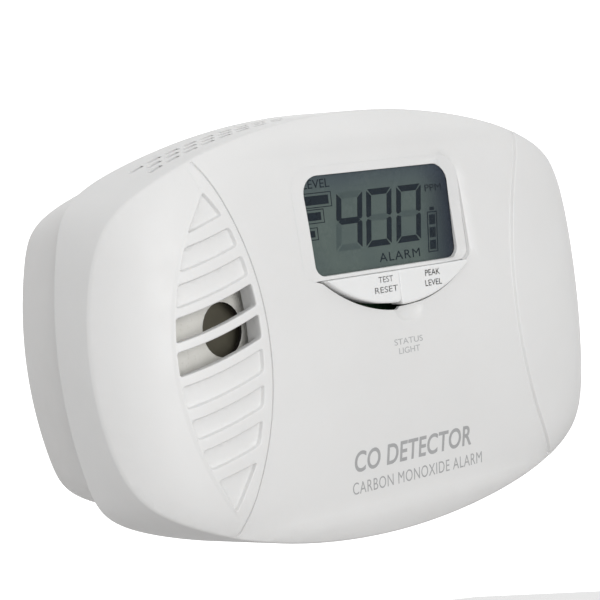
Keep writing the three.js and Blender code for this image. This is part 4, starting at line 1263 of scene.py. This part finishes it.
# ------------------------------------------------------------------ lettering as thin raised print
def lettering(name, text, x0, x1, z0, z1, y_of, mat, node, weight=0.0, thick=0.02, lean=0.0, spacing=1.0, sink=0.02):
    cu = bpy.data.curves.new(name + "_curve", "FONT")
    cu.body = text
    cu.size = 1.0
    cu.extrude = 0.5
    cu.offset = weight
    cu.space_character = spacing
    cu.resolution_u = 6
    tmp = bpy.data.objects.new(name + "_curve", cu)
    scene.collection.objects.link(tmp)
    bpy.context.view_layer.update()
    me = bpy.data.meshes.new_from_object(tmp.evaluated_get(bpy.context.evaluated_depsgraph_get()))
    bpy.data.objects.remove(tmp)
    bpy.data.curves.remove(cu)
    me.name = name
    co = np.array([v.co for v in me.vertices], float)
    lo, hi = co.min(0), co.max(0)
    x = x0 + (co[:, 0] - lo[0]) / (hi[0] - lo[0]) * (x1 - x0)
    z = z0 + (co[:, 1] - lo[1]) / (hi[1] - lo[1]) * (z1 - z0)
    x = x + lean * (z - z0)
    y = y_of(x, z) + np.where(co[:, 2] > 0, -thick, sink)
    for v, a, b, c in zip(me.vertices, x, y, z):
        v.co = Vector((a * MM, b * MM, (c + ZS) * MM))
    ob = bpy.data.objects.new(name, me)
    scene.collection.objects.link(ob)
    bm = bmesh.new()
    bm.from_mesh(me)
    bmesh.ops.remove_doubles(bm, verts=bm.verts, dist=1e-6)
    bmesh.ops.recalc_face_normals(bm, faces=bm.faces)
    bm.to_mesh(me)
    bm.free()
    paint(ob, mat)
    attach(ob, BODY[node])
    return ob


on_lcd = lambda x, z: np.full_like(x, LCD_Y - 0.03)
lettering("lcd_word_level", "LEVEL", -22.3, -14.2, 34.75, 36.85, on_lcd, M_SEG, "lcd_glass", weight=0.0)
lettering("lcd_word_unit", "PPM", 16.0, 21.5, 30.9, 32.6, on_lcd, M_SEG, "lcd_glass", weight=0.0)
lettering("lcd_word_alarm", "ALARM", -1.3, 12.0, 14.75, 16.95, on_lcd, M_SEG, "lcd_glass", weight=0.0, spacing=1.15)


# ------------------------------------------------------------------ keys
def key_solid(name, x0, x1, y_front, edge, big_corner):
    n, m = 72, 22
    a = (1 - np.cos(np.linspace(0, math.pi, n + 1))) / 2
    a = 0.5 * a + 0.5 * np.linspace(0, 1, n + 1)
    b = (1 - np.cos(np.linspace(0, math.pi, m + 1))) / 2
    xs = x0 + (x1 - x0) * a
    lo = np.minimum(KEY_TOP - 0.22, edge(xs))
    rc = 1.3 if big_corner else 0.9
    if big_corner:
        q = np.clip(xs - (x1 - rc), 0, rc)
    else:
        q = np.clip((x0 + rc) - xs, 0, rc)
    lo = np.minimum(KEY_TOP - 0.22, lo + rc - np.sqrt(np.maximum(rc * rc - q * q, 0)))
    hi = np.full_like(xs, KEY_TOP)
    rf = 0.55
    X = np.repeat(xs[:, None], m + 1, 1)
    Z = lo[:, None] + (hi - lo)[:, None] * b[None, :]
    th = (hi - lo)[:, None]
    r = np.minimum(rf, th * 0.45)

    def fil(d, rr):
        d = np.clip(d, 0, rr)
        return rr - np.sqrt(np.maximum(rr * rr - (rr - d) ** 2, 0))
    drop = fil(Z - lo[:, None], r) + fil(hi[:, None] - Z, r * 0.6) + fil(X - x0, r) + fil(x1 - X, 0.7 if big_corner else r)
    drop = np.minimum(drop, 0.75)
    crown = 0.0
    Y = y_front + drop + crown
    verts, faces = [], []
    for i in range(n + 1):
        for j in range(m + 1):
            verts.append((X[i, j], Y[i, j], Z[i, j]))
    at = lambda i, j: i * (m + 1) + j
    for i in range(n):
        for j in range(m):
            faces.append((at(i, j), at(i + 1, j), at(i + 1, j + 1), at(i, j + 1)))
    rim = [at(i, 0) for i in range(n + 1)] + [at(n, j) for j in range(1, m + 1)]
    rim += [at(i, m) for i in range(n - 1, -1, -1)] + [at(0, j) for j in range(m - 1, 0, -1)]
    s = len(verts)
    for k in rim:
        verts.append((verts[k][0], -58.0, verts[k][2]))
    back = list(range(s, s + len(rim)))
    faces.extend(strip(rim, back))
    faces.append(tuple(back[::-1]))
    # push post behind the cap
    px = -9.5 if x0 < 0 else 9.5
    t = np.linspace(0, TAU, 25)[:-1]
    rows = []
    for y in (-58.6, -54.2, -53.9):
        rr = 1.5 if y < -54 else 1.2
        s = len(verts)
        verts.extend([(px + rr * math.cos(q), y, 8.6 + rr * math.sin(q)) for q in t])
        rows.append(list(range(s, s + 24)))
    faces.extend(strip(rows[0], rows[1]))
    faces.extend(strip(rows[1], rows[2]))
    faces.append(tuple(rows[0]))
    faces.append(tuple(rows[2][::-1]))
    ob = tidy(new_object(name, verts, faces), sharp=50)
    weighted(ob)
    paint(ob, M_KEY)
    return ob


test_key = key_solid("test_key_cap", KEY_X0, KEY_SEAM - 0.25, TEST_Y, test_edge, True)
place(test_key, "test_button", "key_plastic")
peak_key = key_solid("peak_key_cap", KEY_SEAM + 0.25, KEY_X1, PEAK_Y, peak_edge, False)
place(peak_key, "peak_button", "key_plastic")
on_test = lambda x, z: np.full_like(x, TEST_Y)
on_peak = lambda x, z: np.full_like(x, PEAK_Y)
for name, text, x0, x1, z0, z1, on, node in (
        ("test_key_word", "TEST", -6.7, -2.1, 9.95, 11.45, on_test, "test_button"),
        ("test_key_word_2", "RESET", -8.2, -0.9, 7.45, 8.95, on_test, "test_button"),
        ("peak_key_word", "PEAK", 9.2, 14.1, 9.85, 11.4, on_peak, "peak_button"),
        ("peak_key_word_2", "LEVEL", 8.9, 14.4, 7.3, 8.8, on_peak, "peak_button")):
    lettering(name, text, x0, x1, z0, z1, on, M_INK_SOFT, node, weight=0.004, thick=0.0)

on_panel = lambda x, z: APEX + depth_full(x, z, True, False)
lettering("printed_title", "CO DETECTOR", -18.0, 20.6, -35.2, -30.0, on_panel, M_INK, "front_cover", weight=0.018, spacing=1.04,
          lean=0.12)
lettering("printed_subtitle", "CARBON MONOXIDE ALARM", -18.6, 24.2, -40.6, -37.6, on_panel, M_INK, "front_cover",
          weight=-0.004, spacing=1.08)
lettering("printed_status", "STATUS", -2.4, 6.8, -6.1, -4.6, on_panel, M_INK_SOFT, "front_cover", weight=0.0)
lettering("printed_light", "LIGHT", -1.2, 5.6, -8.4, -6.9, on_panel, M_INK_SOFT, "front_cover", weight=0.0)

# ------------------------------------------------------------------ stage, light, camera
def floor_object():
    n, m = 40, 24
    verts, faces = [], []
    for i in range(n + 1):
        for j in range(m + 1):
            a = TAU * j / m
            r = 0.74 * (i / n)
            z = -0.30
            verts.append((r * math.cos(a), r * math.sin(a), z))
    for i in range(n):
        for j in range(m):
            a, b = i * (m + 1) + j, (i + 1) * (m + 1) + j
            faces.append((a, b, b + 1, a + 1))
    me = bpy.data.meshes.new("studio_floor")
    me.from_pydata(verts, [], faces)
    me.update()
    ob = bpy.data.objects.new("studio_floor", me)
    scene.collection.objects.link(ob)
    bm = bmesh.new()
    bm.from_mesh(me)
    bmesh.ops.remove_doubles(bm, verts=bm.verts, dist=1e-5)
    bmesh.ops.recalc_face_normals(bm, faces=bm.faces)
    for f in bm.faces:
        f.smooth = True
    bm.to_mesh(me)
    bm.free()
    paint(ob, surface("studio_floor_paint", (0.44, 0.432, 0.428), (0.41, 0.402, 0.398), (0.8, 0.95), grain=2, bump=0.02, blotch=300,
                      tone_and_shade_ramps=[((0.95, 0.95, 0.95), 1, 150.0, 450.0, 1.0)]))
    return ob


floor = floor_object()

world = bpy.data.worlds.new("studio")
scene.world = world
world.use_nodes = True
wt = world.node_tree
direction = wt.nodes.new("ShaderNodeTexCoord").outputs["Generated"]


def lobe(axis, lo, hi, amount):
    """amount, faded in where the direction turns towards the axis"""
    dot = wt.nodes.new("ShaderNodeVectorMath")
    dot.operation = "DOT_PRODUCT"
    wt.links.new(direction, dot.inputs[0])
    dot.inputs[1].default_value = Vector(axis).normalized()
    mr = wt.nodes.new("ShaderNodeMapRange")
    mr.interpolation_type = "SMOOTHSTEP"
    mr.inputs["From Min"].default_value = lo
    mr.inputs["From Max"].default_value = hi
    mr.inputs["To Min"].default_value = 0.0
    mr.inputs["To Max"].default_value = amount
    wt.links.new(dot.outputs["Value"], mr.inputs["Value"])
    return mr.outputs["Result"]


level = None
for args in (((0, 1, 0), -2.0, -1.5, 0.80), ((0, 1, 0), 0.10, 0.60, 0.10), ((0.585, 0.81, -0.05), 0.84, 0.94, 0.60),
             ((-1, 0.05, -0.1), 0.25, 0.85, -0.24), ((0.585, -0.81, -0.05), 0.76, 0.97, -0.44)):
    out = lobe(*args)
    if level is not None:
        plus = wt.nodes.new("ShaderNodeMath")
        plus.operation = "ADD"
        wt.links.new(level, plus.inputs[0])
        wt.links.new(out, plus.inputs[1])
        out = plus.outputs[0]
    level = out
wt.links.new(level, wt.nodes["Background"].inputs["Color"])
wt.nodes["Background"].inputs["Strength"].default_value = 1.0


def area_light(name, at, to, size, power, colour=(1, 1, 1), size_y=None):
    li = bpy.data.lights.new(name, "AREA")
    li.shape = "RECTANGLE"
    li.size = size
    li.size_y = size_y or size
    li.energy = power
    li.color = colour
    ob = bpy.data.objects.new(name, li)
    ob.location = at
    ob.rotation_mode = "QUATERNION"
    ob.rotation_quaternion = (Vector(to) - Vector(at)).to_track_quat("-Z", "Y")
    scene.collection.objects.link(ob)
    return ob


TARGET = (0.0, -0.04, -0.026)
area_light("key_front", (-0.35, -1.20, 0.08), TARGET, 0.6, 6.7, (1.0, 0.998, 0.994))
area_light("top", (0.15, 0.1, 1.1), TARGET, 0.9, 0.5, (1, 1, 1))

yaw, pitch, roll = math.radians(35.841), math.radians(3.176), math.radians(-6.871)
fw = Vector((math.sin(yaw) * math.cos(pitch), math.cos(yaw) * math.cos(pitch), -math.sin(pitch)))
right = fw.cross(Vector((0, 0, 1))).normalized()
up = right.cross(fw)
r2 = math.cos(roll) * right + math.sin(roll) * up
u2 = -math.sin(roll) * right + math.cos(roll) * up
cam_data = bpy.data.cameras.new("camera")
cam_data.sensor_fit = "HORIZONTAL"
cam_data.sensor_width = 36.0
cam_data.lens = 36.0 * 1567.35 / 600.0
cam_data.clip_start, cam_data.clip_end = 0.01, 50.0
camera = bpy.data.objects.new("camera", cam_data)
scene.collection.objects.link(camera)
mat = Matrix((r2, u2, -fw)).transposed().to_4x4()
mat.translation = Vector((-0.24636, -0.36177, 0.00341))
camera.matrix_world = mat
scene.camera = camera

scene.view_settings.view_transform = "Standard"
scene.view_settings.look = "None"
scene.view_settings.exposure = 0.0
scene.view_settings.gamma = 1.0
